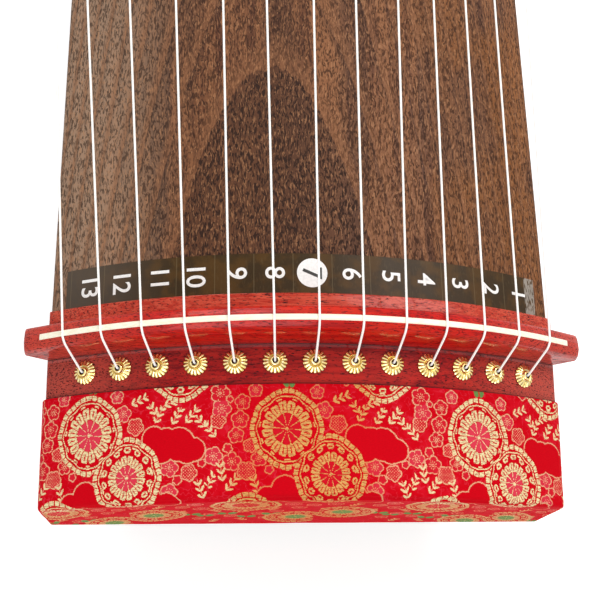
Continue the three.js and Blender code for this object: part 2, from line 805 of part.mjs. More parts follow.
function tube(points, radius) {
  const section = new THREE.Shape(roundOutline(radius, tubeSides));
  const options = { steps: points.length - 1, extrudePath: new Route(points), bevelEnabled: false };
  return closed(new THREE.ExtrudeGeometry(section, options));
}

function knot(point) {
  const geometry = closed(new THREE.OctahedronGeometry(knotRadius));
  geometry.translate(point.x, point.y, point.z);
  return geometry;
}

function stringRoute(index) {
  const offset = stringOffset(index);
  const lift = stringRadius + seatGap;
  const headHole = headHoleSpot(index);
  const tailHole = tailHoleSpot(index);
  const bridgeTop = bridgeSpot(index);
  // Over a ridge: a place at a depth from its crest, and a drop under it.
  const overRidge = (crestAlong, crest, pitch, depth, drop) => {
    const spot = faceSpot(ridgeCrestRadius, crest, crestAlong + depth, offset * pitch, 0);
    return above(spot, lift - drop);
  };
  const holeFoot = tailPlateThickness + seatGap + crownWall;
  const under = above(tailHole, -holeFoot - tailStringSink).add(new THREE.Vector3(0, tailStringSink / 2, 0));
  const atTail = (along, height) => new THREE.Vector3(under.x, along, height);
  const sag = sagAt(crownRadius, under.x);
  const hollowTop = hollowTopAt(tailEnd, under.x);
  const capTop = tailPlateFaceAt(tailEnd) + seatGap + capThickness - sag;
  const turn = tailEnd + seatGap + capApron + lift;
  const tailCollar = collarHeight + knotRadius;
  const knotDepth = plateRise + crownWall + knotRadius * 2 + seatGap;
  return [
    above(headHole, -knotDepth),
    above(headHole, nozzleHeight),
    overRidge(0, headCrest, ridgePitch, -ridgeFrontDepth, stringFallAtFront),
    overRidge(0, headCrest, ridgePitch, -ridgeFrontDepth * frontBendShare, stringFallAtBend),
    overRidge(0, headCrest, ridgePitch, -stripWidth / 2, 0),
    overRidge(0, headCrest, ridgePitch, 0, 0),
    above(bridgeTop, bridgeHeight).add(new THREE.Vector3(0, -bridgeTopLength, 0)),
    above(bridgeTop, bridgeHeight),
    overRidge(ridgeSpan, tailCrest, tailPitch, 0, 0),
    overRidge(ridgeSpan, tailCrest, tailPitch, stripWidth / 2, 0),
    overRidge(ridgeSpan, tailCrest, tailPitch, ridgeFrontDepth * frontBendShare, stringFallAtBend),
    above(tailHole, tailCollar),
    above(tailHole, -holeFoot - tailStringSink / 2),
    under,
    atTail(turn - capEdgeEase, hollowTop - lift - seatGap),
    atTail(turn, hollowTop + capEdgeEase),
    atTail(turn, capTop - capEdgeEase),
    atTail(turn - capEdgeEase, capTop + lift),
    atTail(tailEnd - capLength, tailPlateFaceAt(tailEnd - capLength) - sag + seatGap + capThickness + lift),
    above(tailHole, tailCollar),
  ];
}

for (let index = 0; index < stringCount; index += 1) {
  const route = stringRoute(index);
  const knots = [knot(route[0]), knot(route.at(-1))];
  piece(`string_${two(index + 1)}`, join(tube(route, stringRadius), knots), silkString);
}

// Brocade cover: a cap over the head end, open underneath and behind

function coverRing(along, clearance, hem) {
  const halfWidth = halfWidthAt(along) + clearance;
  const face = plateFaceAt(along) + clearance;
  const base = baseAt(along) + hem;
  const arc = arcAcross(plateRadius + clearance, halfWidth, crownFacets);
  const outline = [
    ...arc.map(({ across, drop }) => [across, face - drop]),
    [halfWidth, base],
    [-halfWidth, base],
  ];
  const lean = along < -headReach + seatGap ? endLean : 0;
  return outline.map(([across, height]) =>
    new THREE.Vector3(across, along - lean * (face - height) / (face - base), height));
}

function coverBlock(rear, clearance, hem) {
  return loft([-headReach - clearance, rear].map(along => coverRing(along, clearance, hem)), seenAlong);
}

piece('brocade_cover', cut(coverBlock(coverRear, seatGap + coverThickness, coverHemLift), [
  coverBlock(coverRear + cutOverrun, seatGap, -cutOverrun),
]), brocade);

// Number label: a dark film on the board behind the head ridge

function labelRing(along) {
  const arc = arcAcross(crownRadius, labelHalfWidth, crownFacets);
  const under = crownAt(along) + seatGap;
  const outline = [
    ...arc.map(({ across, drop }) => [across, under + labelThickness - drop]),
    ...arc.slice().reverse().map(({ across, drop }) => [across, under - drop]),
  ];
  return outline.map(([across, height]) => new THREE.Vector3(across, along, height));
}

piece('number_label', loft([labelFront, labelRear].map(labelRing), seenAlong), darkFilm);

// Feet: turned-out legs under the head and low ones under the tail, from the floor to the sloping back board

// Rings of a foot from the floor up: height share, width share and how far its middle swings out, as a share
// of the knee's swell.
const footShares = [
  [0, 0.82, 0.5],
  [0.1, 0.96, 0.6],
  [0.3, 0.7, 0.1],
  [0.55, 0.74, 0.35],
  [0.8, 1, 1],
  [1, 1.08, 0.8],
];

function foot(along, hand, length, width) {
  const rings = footShares.map(([heightShare, widthShare, swingShare]) =>
    Array.from({ length: footSides }, (_, i) => {
      const angle = Math.PI * 2 * (i + 0.5) / footSides;
      const x = hand * (legAcross + legKneeSwell * swingShare) + width / 2 * widthShare * Math.cos(angle);
      const y = along + length / 2 * widthShare * Math.sin(angle);
      return new THREE.Vector3(x, y, heightShare * (baseAt(y) - seatGap));
    }));
  return loft(rings, seenAbove);
}

[['right', 1], ['left', -1]].forEach(([side, hand]) => {
  piece(`front_leg_${side}`, foot(frontLegAlong, hand, frontLegLength, frontLegWidth), redWood);
  piece(`rear_foot_${side}`, foot(ridgeSpan - rearFootInset, hand, rearFootLength, rearFootWidth), redWood);
});

// The origin stands under the middle of the length, from the cover's foot to the strings round the cap.
const frontMost = -headReach - seatGap - coverThickness - endLean;
const rearMost = tailEnd + seatGap * 2 + capApron + stringRadius * 2;
koto.position.y = -(frontMost + rearMost) / 2;

export default koto;
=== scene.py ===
"""Koto: the finish of a thirteen-string zither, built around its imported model.

Lengths here are in millimetres. "Along" is the distance from the crest of the head ridge towards the tail, "across"
is the distance from the middle plane and heights are measured from the floor; place() turns them into metres.
"""

import math

import bmesh
import bpy
from mathutils import Matrix, Vector, noise


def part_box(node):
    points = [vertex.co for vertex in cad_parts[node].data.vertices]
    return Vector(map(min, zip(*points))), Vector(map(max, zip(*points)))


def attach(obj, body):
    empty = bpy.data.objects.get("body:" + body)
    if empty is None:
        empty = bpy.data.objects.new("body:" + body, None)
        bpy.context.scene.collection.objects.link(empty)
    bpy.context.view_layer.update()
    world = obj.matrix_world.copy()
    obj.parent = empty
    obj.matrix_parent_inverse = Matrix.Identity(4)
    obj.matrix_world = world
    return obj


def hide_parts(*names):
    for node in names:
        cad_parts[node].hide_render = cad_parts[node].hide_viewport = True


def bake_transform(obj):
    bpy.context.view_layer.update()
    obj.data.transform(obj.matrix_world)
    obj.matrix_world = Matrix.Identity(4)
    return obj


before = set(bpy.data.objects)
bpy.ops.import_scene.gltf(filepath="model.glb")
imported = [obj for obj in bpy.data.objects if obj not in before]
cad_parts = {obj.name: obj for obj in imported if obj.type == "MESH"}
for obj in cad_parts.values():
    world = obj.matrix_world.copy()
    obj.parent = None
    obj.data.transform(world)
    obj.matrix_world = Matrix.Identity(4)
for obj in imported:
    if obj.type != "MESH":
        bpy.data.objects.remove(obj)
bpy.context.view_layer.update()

# Places and sizes that the frame gives

MM = 0.001
head_strip_low, head_strip_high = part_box("head_ridge_strip")
tail_strip_low, tail_strip_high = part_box("tail_ridge_strip")
CREST_Y = (head_strip_low.y + head_strip_high.y) / 2


def place(across, along, height):
    return Vector((across * MM, CREST_Y + along * MM, height * MM))


def box_in_mm(node):
    low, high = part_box(node)
    return [Vector((p.x / MM, (p.y - CREST_Y) / MM, p.z / MM)) for p in (low, high)]


plate_low, plate_high = box_in_mm("head_plate")
RIDGE_SPAN = ((tail_strip_low.y + tail_strip_high.y) / 2 - CREST_Y) / MM
HEAD_HALF_WIDTH = box_in_mm("soundboard_shell")[1].x
HEAD_END = plate_low.y
PLATE_REAR = plate_high.y
TAIL_END = box_in_mm("tail_plate")[1].y
HEAD_CREST = head_strip_high.z / MM
TAIL_CREST = tail_strip_high.z / MM

# Driving sizes of the body, as the model has them

TAIL_TAPER = 5.1
CROWN_RADIUS = 241.3
RIDGE_RISE = 22.3
TAIL_DROP = 36
ARCH_RISE = 18
SIDE_HEIGHT = 46.5
CROWN_WALL = 20
SIDE_WALL = 14
LIP_WALL = 6
END_LEAN = 2.8
BACK_THICKNESS = 9
SEAT_GAP = 0.3
PLATE_RADIUS = 247.9
PLATE_RISE = 2.9
PLATE_SLOPE = 10.3 / 93.3
PLATE_FRONT_THICKNESS = 3.5
RIDGE_RADIUS = 240.3
TAIL_PLATE_THICKNESS = 3.2
TAIL_PLATE_FRONT = 22
CROWN_HEIGHT = HEAD_CREST - RIDGE_RISE

# Sizes of the strings, and of what they run over

STRINGS = 13
NUMBERS = [f"{number:02}" for number in range(1, STRINGS + 1)]
STRING_RADIUS = 0.52
RIDGE_PITCH = 20.25
ROSETTE_PITCH = 18.47
TAIL_PITCH = 19.6
TAIL_HOLE_PITCH = 17.6
ROSETTE_ALONG = -14.96
TAIL_HOLE_ALONG = 22
RIDGE_FRONT = 6.55
RIDGE_REAR = 8.2
COVER_REAR = -25.6


def crown_at(along):
    return CROWN_HEIGHT - TAIL_DROP * along / RIDGE_SPAN + ARCH_RISE * (1 - (2 * along / RIDGE_SPAN - 1) ** 2)


def half_width_at(along):
    return HEAD_HALF_WIDTH - TAIL_TAPER * max(0, along) / RIDGE_SPAN


def sag_at(radius, across):
    return radius - math.sqrt(radius * radius - across * across)


def base_at(along):
    return crown_at(along) - sag_at(CROWN_RADIUS, half_width_at(along)) - SIDE_HEIGHT


def plate_face_at(along):
    return crown_at(0) + PLATE_RISE + PLATE_SLOPE * along


def seat_at(along):
    front = plate_face_at(HEAD_END) - PLATE_FRONT_THICKNESS
    share = (PLATE_REAR - along) / (PLATE_REAR - HEAD_END)
    return crown_at(PLATE_REAR) + (front - crown_at(PLATE_REAR)) * share


def tail_face_at(along):
    return crown_at(along) + SEAT_GAP + TAIL_PLATE_THICKNESS


def slope_at(along):
    return crown_at(along + 0.5) - crown_at(along - 0.5)


def spread(low, high, steps):
    return [low + (high - low) * i / steps for i in range(steps + 1)]


def arc_across(radius, half_width, facets):
    """Places across an arch, from left to right, with how far each lies under the crown."""
    reach = math.asin(half_width / radius)
    return [(radius * math.sin(a), radius * (1 - math.cos(a))) for a in spread(-reach, reach, facets)]


# Meshes

def bend(start, corner, end, steps):
    """Points of a curve from start to end that is drawn towards a corner."""
    return [start * (1 - t) ** 2 + corner * 2 * t * (1 - t) + end * t ** 2 for t in spread(0, 1, steps)]


def rounded(last, here, following, ease, steps):
    """The points that round off a corner between its neighbours; 0 keeps it."""
    to_last, to_next = last - here, following - here
    ease = min(ease, to_last.length * 0.48, to_next.length * 0.48)
    if ease <= 0:
        return [here]
    return bend(here + to_last.normalized() * ease, here, here + to_next.normalized() * ease, steps)


def eased(outline, eases, steps=3):
    """A closed outline whose corners are rounded off over the given lengths."""
    corners = [Vector(corner) for corner in outline]
    following = corners[1:] + corners[:1]
    return [tuple(point) for i, here in enumerate(corners)
            for point in rounded(corners[i - 1], here, following[i], eases[i], steps)]


def eased_path(points, eases, steps=6):
    """An open path of Vectors whose inner corners are rounded off."""
    inner = [point for i in range(1, len(points) - 1) for point in rounded(*points[i - 1:i + 2], eases[i], steps)]
    return [points[0]] + inner + [points[-1]]


def loft(rings, ends=True):
    """Vertices and faces of a skin through rings that have as many points each."""
    count = len(rings[0])
    faces = []
    for r in range(len(rings) - 1):
        for i in range(count):
            a, b = r * count + i, r * count + (i + 1) % count
            faces.append((a, b, b + count, a + count))
    if ends:
        faces.append(tuple(range(count)))
        faces.append(tuple(range((len(rings) - 1) * count, len(rings) * count)))
    return [point for ring in rings for point in ring], faces


def full_turn(sides):
    return [2 * math.pi * k / sides for k in range(sides)]


def tube(path, radius, sides):
    """Rings round a path, carried along it without turning."""
    rings = []
    side = (path[1] - path[0]).normalized().orthogonal().normalized()
    for i, point in enumerate(path):
        ahead = (path[min(i + 1, len(path) - 1)] - path[max(i - 1, 0)]).normalized()
        side = (side - ahead * side.dot(ahead)).normalized()
        other = ahead.cross(side)
        rings.append([point + (side * math.cos(a) + other * math.sin(a)) * radius for a in full_turn(sides)])
    return rings


def add_to_scene(name, data):
    obj = bpy.data.objects.new(name, data)
    bpy.context.scene.collection.objects.link(obj)
    return obj


def add_object(name, vertices, faces, materials, sharp=40, face_material=None):
    """A mesh object from vertices in millimetres; face_material picks the material of a face by its number."""
    mesh = bpy.data.meshes.new(name)
    mesh.from_pydata([place(*v) for v in vertices], [], faces)
    for material in materials:
        mesh.materials.append(material)
    if face_material:
        mesh.polygons.foreach_set("material_index", [face_material(i) for i in range(len(faces))])
    shape = bmesh.new()
    shape.from_mesh(mesh)
    bmesh.ops.recalc_face_normals(shape, faces=shape.faces)
    shape.to_mesh(mesh)
    shape.free()
    mesh.shade_smooth()
    mesh.set_sharp_from_angle(angle=math.radians(sharp))
    return add_to_scene(name, mesh)


def add_piece(name, shape, materials, body, slot, replaces=(), **options):
    obj = add_object(name, *shape, materials, **options)
    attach(obj, body)
    if replaces:
        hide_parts(*replaces)
    return obj


def merged(shapes):
    """Several shapes as one."""
    vertices, faces = [], []
    for some_vertices, some_faces in shapes:
        start = len(vertices)
        vertices += some_vertices
        faces += [tuple(start + i for i in face) for face in some_faces]
    return vertices, faces


# Materials, as node graphs written in sums

def screen_colour(value):
    """A colour as it shows on a screen, from 0 to 255, in the renderer's linear light; a Term stays as it is."""
    if isinstance(value, Term):
        return value
    shares = [part / 255 for part in value]
    return (*(part / 12.92 if part <= 0.04045 else ((part + 0.055) / 1.055) ** 2.4 for part in shares), 1)


class Term:
    """A node's output that can be used in a sum."""

    def __init__(self, graph, socket):
        self.graph = graph
        self.socket = socket


def add_operation(name, operation, turned=False):
    """Give Term a method that makes a math node; turned puts the term after what it is called with."""
    def method(self, *others):
        return self.graph.sum(operation, *others, self) if turned else self.graph.sum(operation, self, *others)
    setattr(Term, name, method)


for name, operation in (
        ("__add__", "ADD"), ("__sub__", "SUBTRACT"), ("__mul__", "MULTIPLY"), ("__truediv__", "DIVIDE"),
        ("__pow__", "POWER"), ("under", "LESS_THAN"), ("over", "GREATER_THAN"), ("least", "MINIMUM"),
        ("most", "MAXIMUM"), ("size", "ABSOLUTE"), ("sine", "SINE"), ("part", "FRACT"), ("root", "SQRT")):
    add_operation(name, operation)
add_operation("__radd__", "ADD", turned=True)
add_operation("__rsub__", "SUBTRACT", turned=True)


class Graph:
    """A node tree that is built by the calls here."""

    def __init__(self, tree):
        self.nodes = tree.nodes
        self.links = tree.links

    def feed(self, value, socket):
        if isinstance(value, Term):
            self.links.new(value.socket, socket)
        elif value is not None:
            socket.default_value = value

    def node(self, kind, *values, output=0, named=None, **settings):
        node = self.nodes.new("ShaderNode" + kind)
        for name, value in settings.items():
            setattr(node, name, value)
        for value, socket in zip(values, node.inputs):
            self.feed(value, socket)
        for name, value in (named or {}).items():
            self.feed(value, node.inputs[name])
        return Term(self, node.outputs[output])

    def sum(self, operation, *values):
        return self.node("Math", *values, operation=operation)

    def vector(self, operation, *values, output=0):
        return self.node("VectorMath", *values, operation=operation, output=output)

    def together(self, x, y, z=0.0):
        return self.node("CombineXYZ", x, y, z)

    def apart(self, vector):
        node = self.nodes.new("ShaderNodeSeparateXYZ")
        self.feed(vector, node.inputs[0])
        return [Term(self, node.outputs[i]) for i in range(3)]

    def where(self):
        """A point in millimetres, as a vector and as its distances across, along and up."""
        x, y, z = self.apart(self.node("TexCoord", output=3))
        parts = x / MM, (y - CREST_Y) / MM, z / MM
        return self.together(*parts), *parts

    def noise(self, spot, across, along=None, height=None, detail=2.0, rough=0.5, distortion=0.0):
        """Noise in grains of about these sizes; along and height are as across where they aren't given."""
        spot = self.vector("DIVIDE", spot, (across, along or across, height or across))
        return self.node("TexNoise", named={
            "Vector": spot, "Scale": 1.0, "Detail": detail, "Roughness": rough, "Distortion": distortion})

    def ease(self, value, low, high):
        """A smooth step of value from low to high."""
        return self.node("MapRange", value, low, high, interpolation_type="SMOOTHSTEP")

    def mix(self, share, first, second):
        """From the first colour to the second as share goes from 0 to 1."""
        return self.node("Mix", share, *[None] * 5, screen_colour(first), screen_colour(second), output=2,
                         data_type="RGBA")

    def bump(self, height, distance, strength=1.0):
        """A bump of some millimetres where height goes from 0 to 1."""
        return self.node("Bump", named={"Strength": strength, "Distance": distance * MM, "Height": height})


class Look(Graph):
    """A material's nodes, with its shader."""

    def __init__(self, name, roughness=0.5, **fixed):
        self.material = bpy.data.materials.new(name)
        self.material.use_nodes = True
        super().__init__(self.material.node_tree)
        self.shader = self.nodes["Principled BSDF"]
        self.set(Roughness=roughness, **fixed)

    def set(self, **sockets):
        for name, value in sockets.items():
            self.feed(value, self.shader.inputs[name.replace("_", " ")])
        return self.material


def near(value, middle, half):
    """1 where a value lies within half of the middle."""
    return (value - middle).size().under(half)


# Where the grain figure of the board opens: an arch whose top lies behind the label, and the lines beyond it
FIGURE_TOP = 139
FIGURE_STEP = 69
FIGURE_ACROSS = -19
FIGURE_WIDTH = 24
SMOOTH_BAND = 18


def make_scorched_wood(name, figure=True):
    """Scorched and brushed softwood: dark pores in rows along the grain, crowded inside the arch of the figure."""
    g = Look(name, roughness=0.5, Specular_IOR_Level=0.15)
    spot, across, along, height = g.where()
    arc = g.sum("ARCSINE", (across / CROWN_RADIUS).most(-1).least(1)) * CROWN_RADIUS
    sway = g.noise(spot, 11, 18)
    drift = g.noise(spot, 30, 160, detail=3)
    ragged = g.noise(spot, 3, 12)
    shape = along + (arc - FIGURE_ACROSS) ** 2 / FIGURE_WIDTH + (drift - 0.5) * 20 + (ragged - 0.5) * 7 - FIGURE_TOP
    # The arches show on the top; along the sides the grain runs straight
    on_top = g.ease(g.apart(g.node("NewGeometry", output=1))[2], 0.3, 0.6)
    within = (1 - g.ease(shape, -1.2, 0.8)) * on_top
    ring = (shape / FIGURE_STEP).part()
    smooth = (1 - g.ease(ring, 0.3 * SMOOTH_BAND / FIGURE_STEP, 1.4 * SMOOTH_BAND / FIGURE_STEP)) * (on_top - within)
    edge = g.ease(ring, 0.8, 0.99) * (on_top - within)
    grain = across + (sway - 0.5) * 5
    swayed = g.together(grain, along, height)
    streak = g.noise(swayed, 3.6, 240, detail=4, rough=0.65)
    broad = g.noise(swayed, 16, 300)
    patch = g.noise(spot, 34, 70)
    pores = g.noise(swayed, 0.8, 3.1, rough=0.6, distortion=0.5)
    lights = g.noise(g.together(grain + 52.5, along, height), 0.75, 3.6, rough=0.6)
    mid = g.mix(g.ease(streak, 0.36, 0.62), (88, 51, 32), (138, 90, 58))
    mid = g.mix(g.ease(broad, 0.58, 0.44) * 0.5, mid, (70, 44, 31))
    if figure:
        right = g.ease(arc, 10, 110)
        # Painted sheen: the top of the board turns greyer towards its left side
        left = g.ease(arc * -1, 55, 115)
        mid = g.mix(right * 0.6 * on_top * g.ease(patch, 0.4, 0.6), mid, (142, 86, 38))
        mid = g.mix(left * 0.75 * on_top, mid, (168, 138, 114))
        mid = g.mix(smooth * 0.55, mid, (136, 90, 60))
        mid = g.mix(within * 0.8, mid, (84, 52, 34))
        mid = g.mix(edge * 0.4, mid, (58, 36, 27))
    amount = 0.72 + within * 0.2 - smooth * 0.25 if figure else 0.75
    dark = g.ease(pores, 0.49, 0.57)
    base = g.mix(dark * amount, mid, (40, 23, 16))
    base = g.mix(g.ease(lights, 0.53, 0.63) * 0.5 * (1 - dark), base, (172, 122, 84))
    return g.set(Base_Color=base, Roughness=0.5 + dark * 0.2, Normal=g.bump(1 - dark * 0.7 - streak * 0.3, 0.3, 0.5))


def make_pale_wood():
    g = Look("pale_wood", roughness=0.7)
    spot = g.where()[0]
    streak = g.noise(spot, 3.5, 200, detail=4, rough=0.6)
    flecks = g.noise(spot, 0.5, 5)
    base = g.mix(g.ease(streak, 0.35, 0.65), (176, 138, 96), (206, 172, 128))
    base = g.mix(g.ease(flecks, 0.55, 0.7) * 0.4, base, (140, 104, 70))
    return g.set(Base_Color=base, Normal=g.bump(flecks, 0.2, 0.4))


def make_red_wood(name, dark, light, flare, with_foot_line_and_hem_shadow=False):
    """Polished hardwood stained red: streaks and dark pores run across the body, and the ends are paler; painted light
    brightens the band behind the ridge, and painted shade darkens the wood from the ridge's front foot back.
    """
    g = Look(name, Specular_IOR_Level=0.12, Coat_Roughness=0.06)
    spot, across, along, height = g.where()
    flow = g.noise(spot, 60, 14, 14)
    streak = g.noise(spot, 55, 1.3, 1.3, detail=4, rough=0.65, distortion=0.6)
    broad = g.noise(spot, 90, 5, 5)
    pores = g.noise(g.together(across, along + flow * 3, height), 3, 0.5, 0.5, rough=0.6)
    crowd = g.noise(spot, 12, 4, 4)
    ends = g.ease(across.size(), 60, 125)
    # Painted light: the band behind the ridge is made brighter and more orange, as if lit from behind
    behind = g.ease(along, RIDGE_REAR - 1, RIDGE_REAR + 1) * along.under(100)
    # Painted shade from the ridge's front foot back
    shade = g.ease(along * -1, RIDGE_FRONT + 16, RIDGE_FRONT - 1) * g.ease(along, -RIDGE_FRONT - 1, -RIDGE_FRONT)
    base = g.mix(g.ease(streak, 0.36, 0.62), dark, light)
    base = g.mix(g.ease(broad, 0.45, 0.65) * 0.5, base, flare)
    base = g.mix(ends * 0.55, base, (206, 96, 78))
    base = g.mix(behind * 0.8, base, g.mix(g.ease(streak, 0.4, 0.58), (218, 66, 42), (248, 108, 78)))
    base = g.mix(shade * 0.3, base, dark)
    if with_foot_line_and_hem_shadow:
        # A dark line along the ridge's front foot, and a painted shadow along the cover's hem
        lines = near(along, -RIDGE_FRONT - 0.3, 0.3) + near(along, COVER_REAR + 0.3, 0.45)
        base = g.mix(lines * 0.6, base, (40, 2, 4))
    steep = near(along, -RIDGE_FRONT, 1.7)
    limit = 0.655 - crowd * 0.13 - ends * 0.03
    pore = g.ease(pores - limit, 0, 0.03)
    base = g.mix(pore * 0.9, base, (48, 4, 10))
    return g.set(Base_Color=base, Roughness=0.28 + pore * 0.3, Coat_Weight=steep * 0.6 + 0.1,
                 Normal=g.bump(1 - pore, 0.12, 0.4))


def make_gold():
    """Gilded metal, darker with painted shade where the mesh's own "hollow" value marks a groove."""
    g = Look("gold_metal", roughness=0.2, Metallic=1)
    wear = g.noise(g.where()[0], 1.25, detail=3)
    hollow = g.node("Attribute", output=2, attribute_name="hollow")
    base = g.mix(g.ease(wear, 0.4, 0.62), (250, 220, 134), (255, 240, 184))
    # Painted shade in the grooves of the flutes, the trough round the nozzle and the bore
    base = g.mix(hollow, base, (108, 70, 18))
    return g.set(Base_Color=base, Roughness=0.12 + wear * 0.12 + hollow * 0.2)


def make_string_white():
    """White cord with a fine twist; it glows a little, so that it stays white over the dark board."""
    g = Look("string_white", roughness=0.6, Specular_IOR_Level=0.2)
    turn, run, _ = g.apart(g.node("UVMap", uv_map="twist"))
    twist = ((turn * 3 + run / 1.6) * math.pi * 2).sine() * 0.5 + 0.5
    return g.set(Base_Color=g.mix(twist, (246, 245, 240), (255, 255, 252)), Normal=g.bump(twist, 0.12, 0.6),
                 Emission_Color=(1, 1, 0.98, 1), Emission_Strength=0.14)


def make_film():
    """Thin dark film: brown-olive, with faint seams between its fields, a grey right end and a painted grey sheen
    towards its left end.
    """
    g = Look("dark_film", Specular_IOR_Level=0.2)
    spot, across, _, _ = g.where()
    cloud = g.noise(spot, 9, detail=3)
    grain = g.noise(spot, 0.8, 3)
    base = g.mix(g.ease(cloud, 0.4, 0.62), (52, 34, 2), (76, 50, 8))
    # Painted sheen: greyer towards the left end
    base = g.mix(g.ease(across * -1, 60, 112) * 0.8, base, (84, 74, 64))
    worn_end = g.ease(across, 112.6, 113.4) * g.ease(grain, 0.38, 0.5)
    base = g.mix(worn_end * 0.8, base, (168, 160, 150))
    base = g.mix(g.ease(grain, 0.55, 0.75) * 0.25, base, (96, 78, 48))
    arc = g.sum("ARCSINE", across / CROWN_RADIUS) * CROWN_RADIUS
    field = ((arc / RIDGE_PITCH * 1.08 + 0.5).part() - 0.5).size()
    base = g.mix(g.ease(field, 0.484, 0.5) * 0.4, base, (132, 116, 84))
    return g.set(Base_Color=base, Roughness=0.4 + cloud * 0.12)


def make_plain(name, first, second, low, high, grain, detail=3, **fixed):
    """Two near colours in soft patches or streaks of some size."""
    g = Look(name, **fixed)
    tone = g.ease(g.noise(g.where()[0], *grain, detail=detail), low, high)
    return g.set(Base_Color=g.mix(tone, first, second))


# Brocade: roundels, blossoms, sprigs and plain clouds that repeat across the cloth

CLOTH_REPEAT_ACROSS = 94.1
CLOTH_REPEAT_ALONG = 150
CLOTH_START = (-12.95, -46.05)     # where the first roundel's middle lies on the cover, across and along
CLOTH_TURN = 0.0123                # how far the repeat climbs along the cover for each millimetre across
CELL_CORNER = (19, 42)             # corner of the piece that repeats, where its edges cross few figures
THREAD_ACROSS = 0.36
THREAD_ALONG = 0.3
WARM_MIDDLE = -5.4                 # where the gold threads are warmest, across

# Roundels: place in the repeat and kind: 0 with large petals, 1 with gems round smaller ones, 2 with a green heart
ROUNDELS = [(0, 0, 0), (19.8, -20.2, 1), (45, 31, 1), (76, -46.5, 0), (31, -71, 2), (9, -87, 2)]
ROUNDEL_ACROSS = 16.8
ROUNDEL_ALONG = 17.6

# Blossoms: place in the repeat and radius, plus 10 where they are filled and plus 20 where they are dotted
BLOSSOMS = [
    (63.5, 16.4, 4.5), (64.3, 9.3, 14.4), (73.9, 12.2, 3.6), (68.1, 13.5, 1.5), (62.7, 3.9, 23.6), (72.7, 4.3, 4.0),
    (71.0, -2.8, 3.6), (67.2, -8.6, 2.2), (60.6, -11.9, 14.2), (68.9, -14.5, 4.2), (75.6, -18.6, 24.2),
    (86.0, -18.2, 2.0), (81.4, -13.2, 3.6), (77.3, -7.4, 23.2), (55.2, -14.9, 1.8), (40.2, -16.5, 14.2),
    (49.3, -19.0, 23.8), (43.9, -22.0, 2.2), (40.2, -27.4, 14.0), (17.2, 8.7, 13.9), (23.5, 2.6, 24.1),
    (13.9, 16.8, 13.2), (79.8, 17.6, 13.3), (27.6, 22.5, 2.4), (86.6, 12.5, 2.0), (52, -40, 14), (46, -47, 23.6),
    (55, -54, 4), (4, -44, 14), (14, -47, 23.6), (24, -44, 4), (8, -55, 3.6), (60, -74, 14), (70, -80, 23.6),
    (84, -74, 4), (54, -86, 3.4), (88, -88, 14), (-2, -66, 3.4),
]

# Sprigs: middle in the repeat, and the way that they grow, in degrees from the cloth's width
SPRIGS = [
    (25.2, 14.5, 23), (32.8, 8.9, 125), (35.1, 7.7, 62), (43.5, 6.8, 60), (50.6, 6.8, 50), (54.1, 4.3, 130),
    (58.9, 0, 128), (54.8, -26.5, 110), (59.3, -22.8, 60), (64.3, -18.8, 100), (69.3, -24, 50), (79.8, -24.9, 110),
    (41.6, 13.1, 20), (34, -46, 60), (62, -62, 120), (90, -58, 70), (74, -68, 30), (46, -64, 100), (-4, -78, 50),
    (62, -94, 70), (76, -92, 120),
]
SPRIG_LENGTH = 9

# Clouds: the round parts that they are made of, place in the repeat and radius
CLOUDS = [
    (32.5, -3.2, 5.6), (44.5, -6.2, 7.6), (51.5, -8.7, 5.3), (48.5, -9.2, 5.7), (36.5, -8.2, 6.3), (38.6, -4.5, 6),
    (-1, -27.2, 6.4), (-8.9, -31, 5.5), (5.6, -30.5, 8), (30, -31, 7), (39, -33.5, 6),
]

# Green leaf pairs: middle in the repeat and size
LEAVES = [
    (1.1, 20.2, 1.5), (50, -73, 2.6), (57, -78, 2.4), (68, -73, 2.6), (78, -84, 2.6), (90, -76, 2.6),
    (-8, -50, 2.8), (70, -60, 2),
]


def copies(places, margin):
    """The places within the repeating piece, and those of its neighbours that reach into it."""
    for across, along, value in places:
        for i in (-1, 0, 1):
            for j in (-1, 0, 1):
                x = (across - CELL_CORNER[0]) % CLOTH_REPEAT_ACROSS + i * CLOTH_REPEAT_ACROSS
                y = (along - CELL_CORNER[1]) % CLOTH_REPEAT_ALONG + j * CLOTH_REPEAT_ALONG
                if -margin < x < CLOTH_REPEAT_ACROSS + margin and -margin < y < CLOTH_REPEAT_ALONG + margin:
                    yield x, y, value


def nearest(g, spot, places, margin, reach=lambda value: 0):
    """Offsets from the nearest of the places on the cloth, less their reach, and that place's third value."""
    best = best_size = None
    for x, y, value in copies(places, margin):
        size = g.vector("DISTANCE", spot, (x, y, 0), output=1)
        if reach(value):
            size = size - reach(value)
        if best is None:
            best, best_size = (x, y, value), size
            continue
        best = g.node("Mix", size.under(best_size), *[None] * 3, best, (x, y, value), output=1, data_type="VECTOR")
        best_size = best_size.least(size)
    x, y, value = g.apart(g.vector("SUBTRACT", spot, best))
    return x, y, value * -1


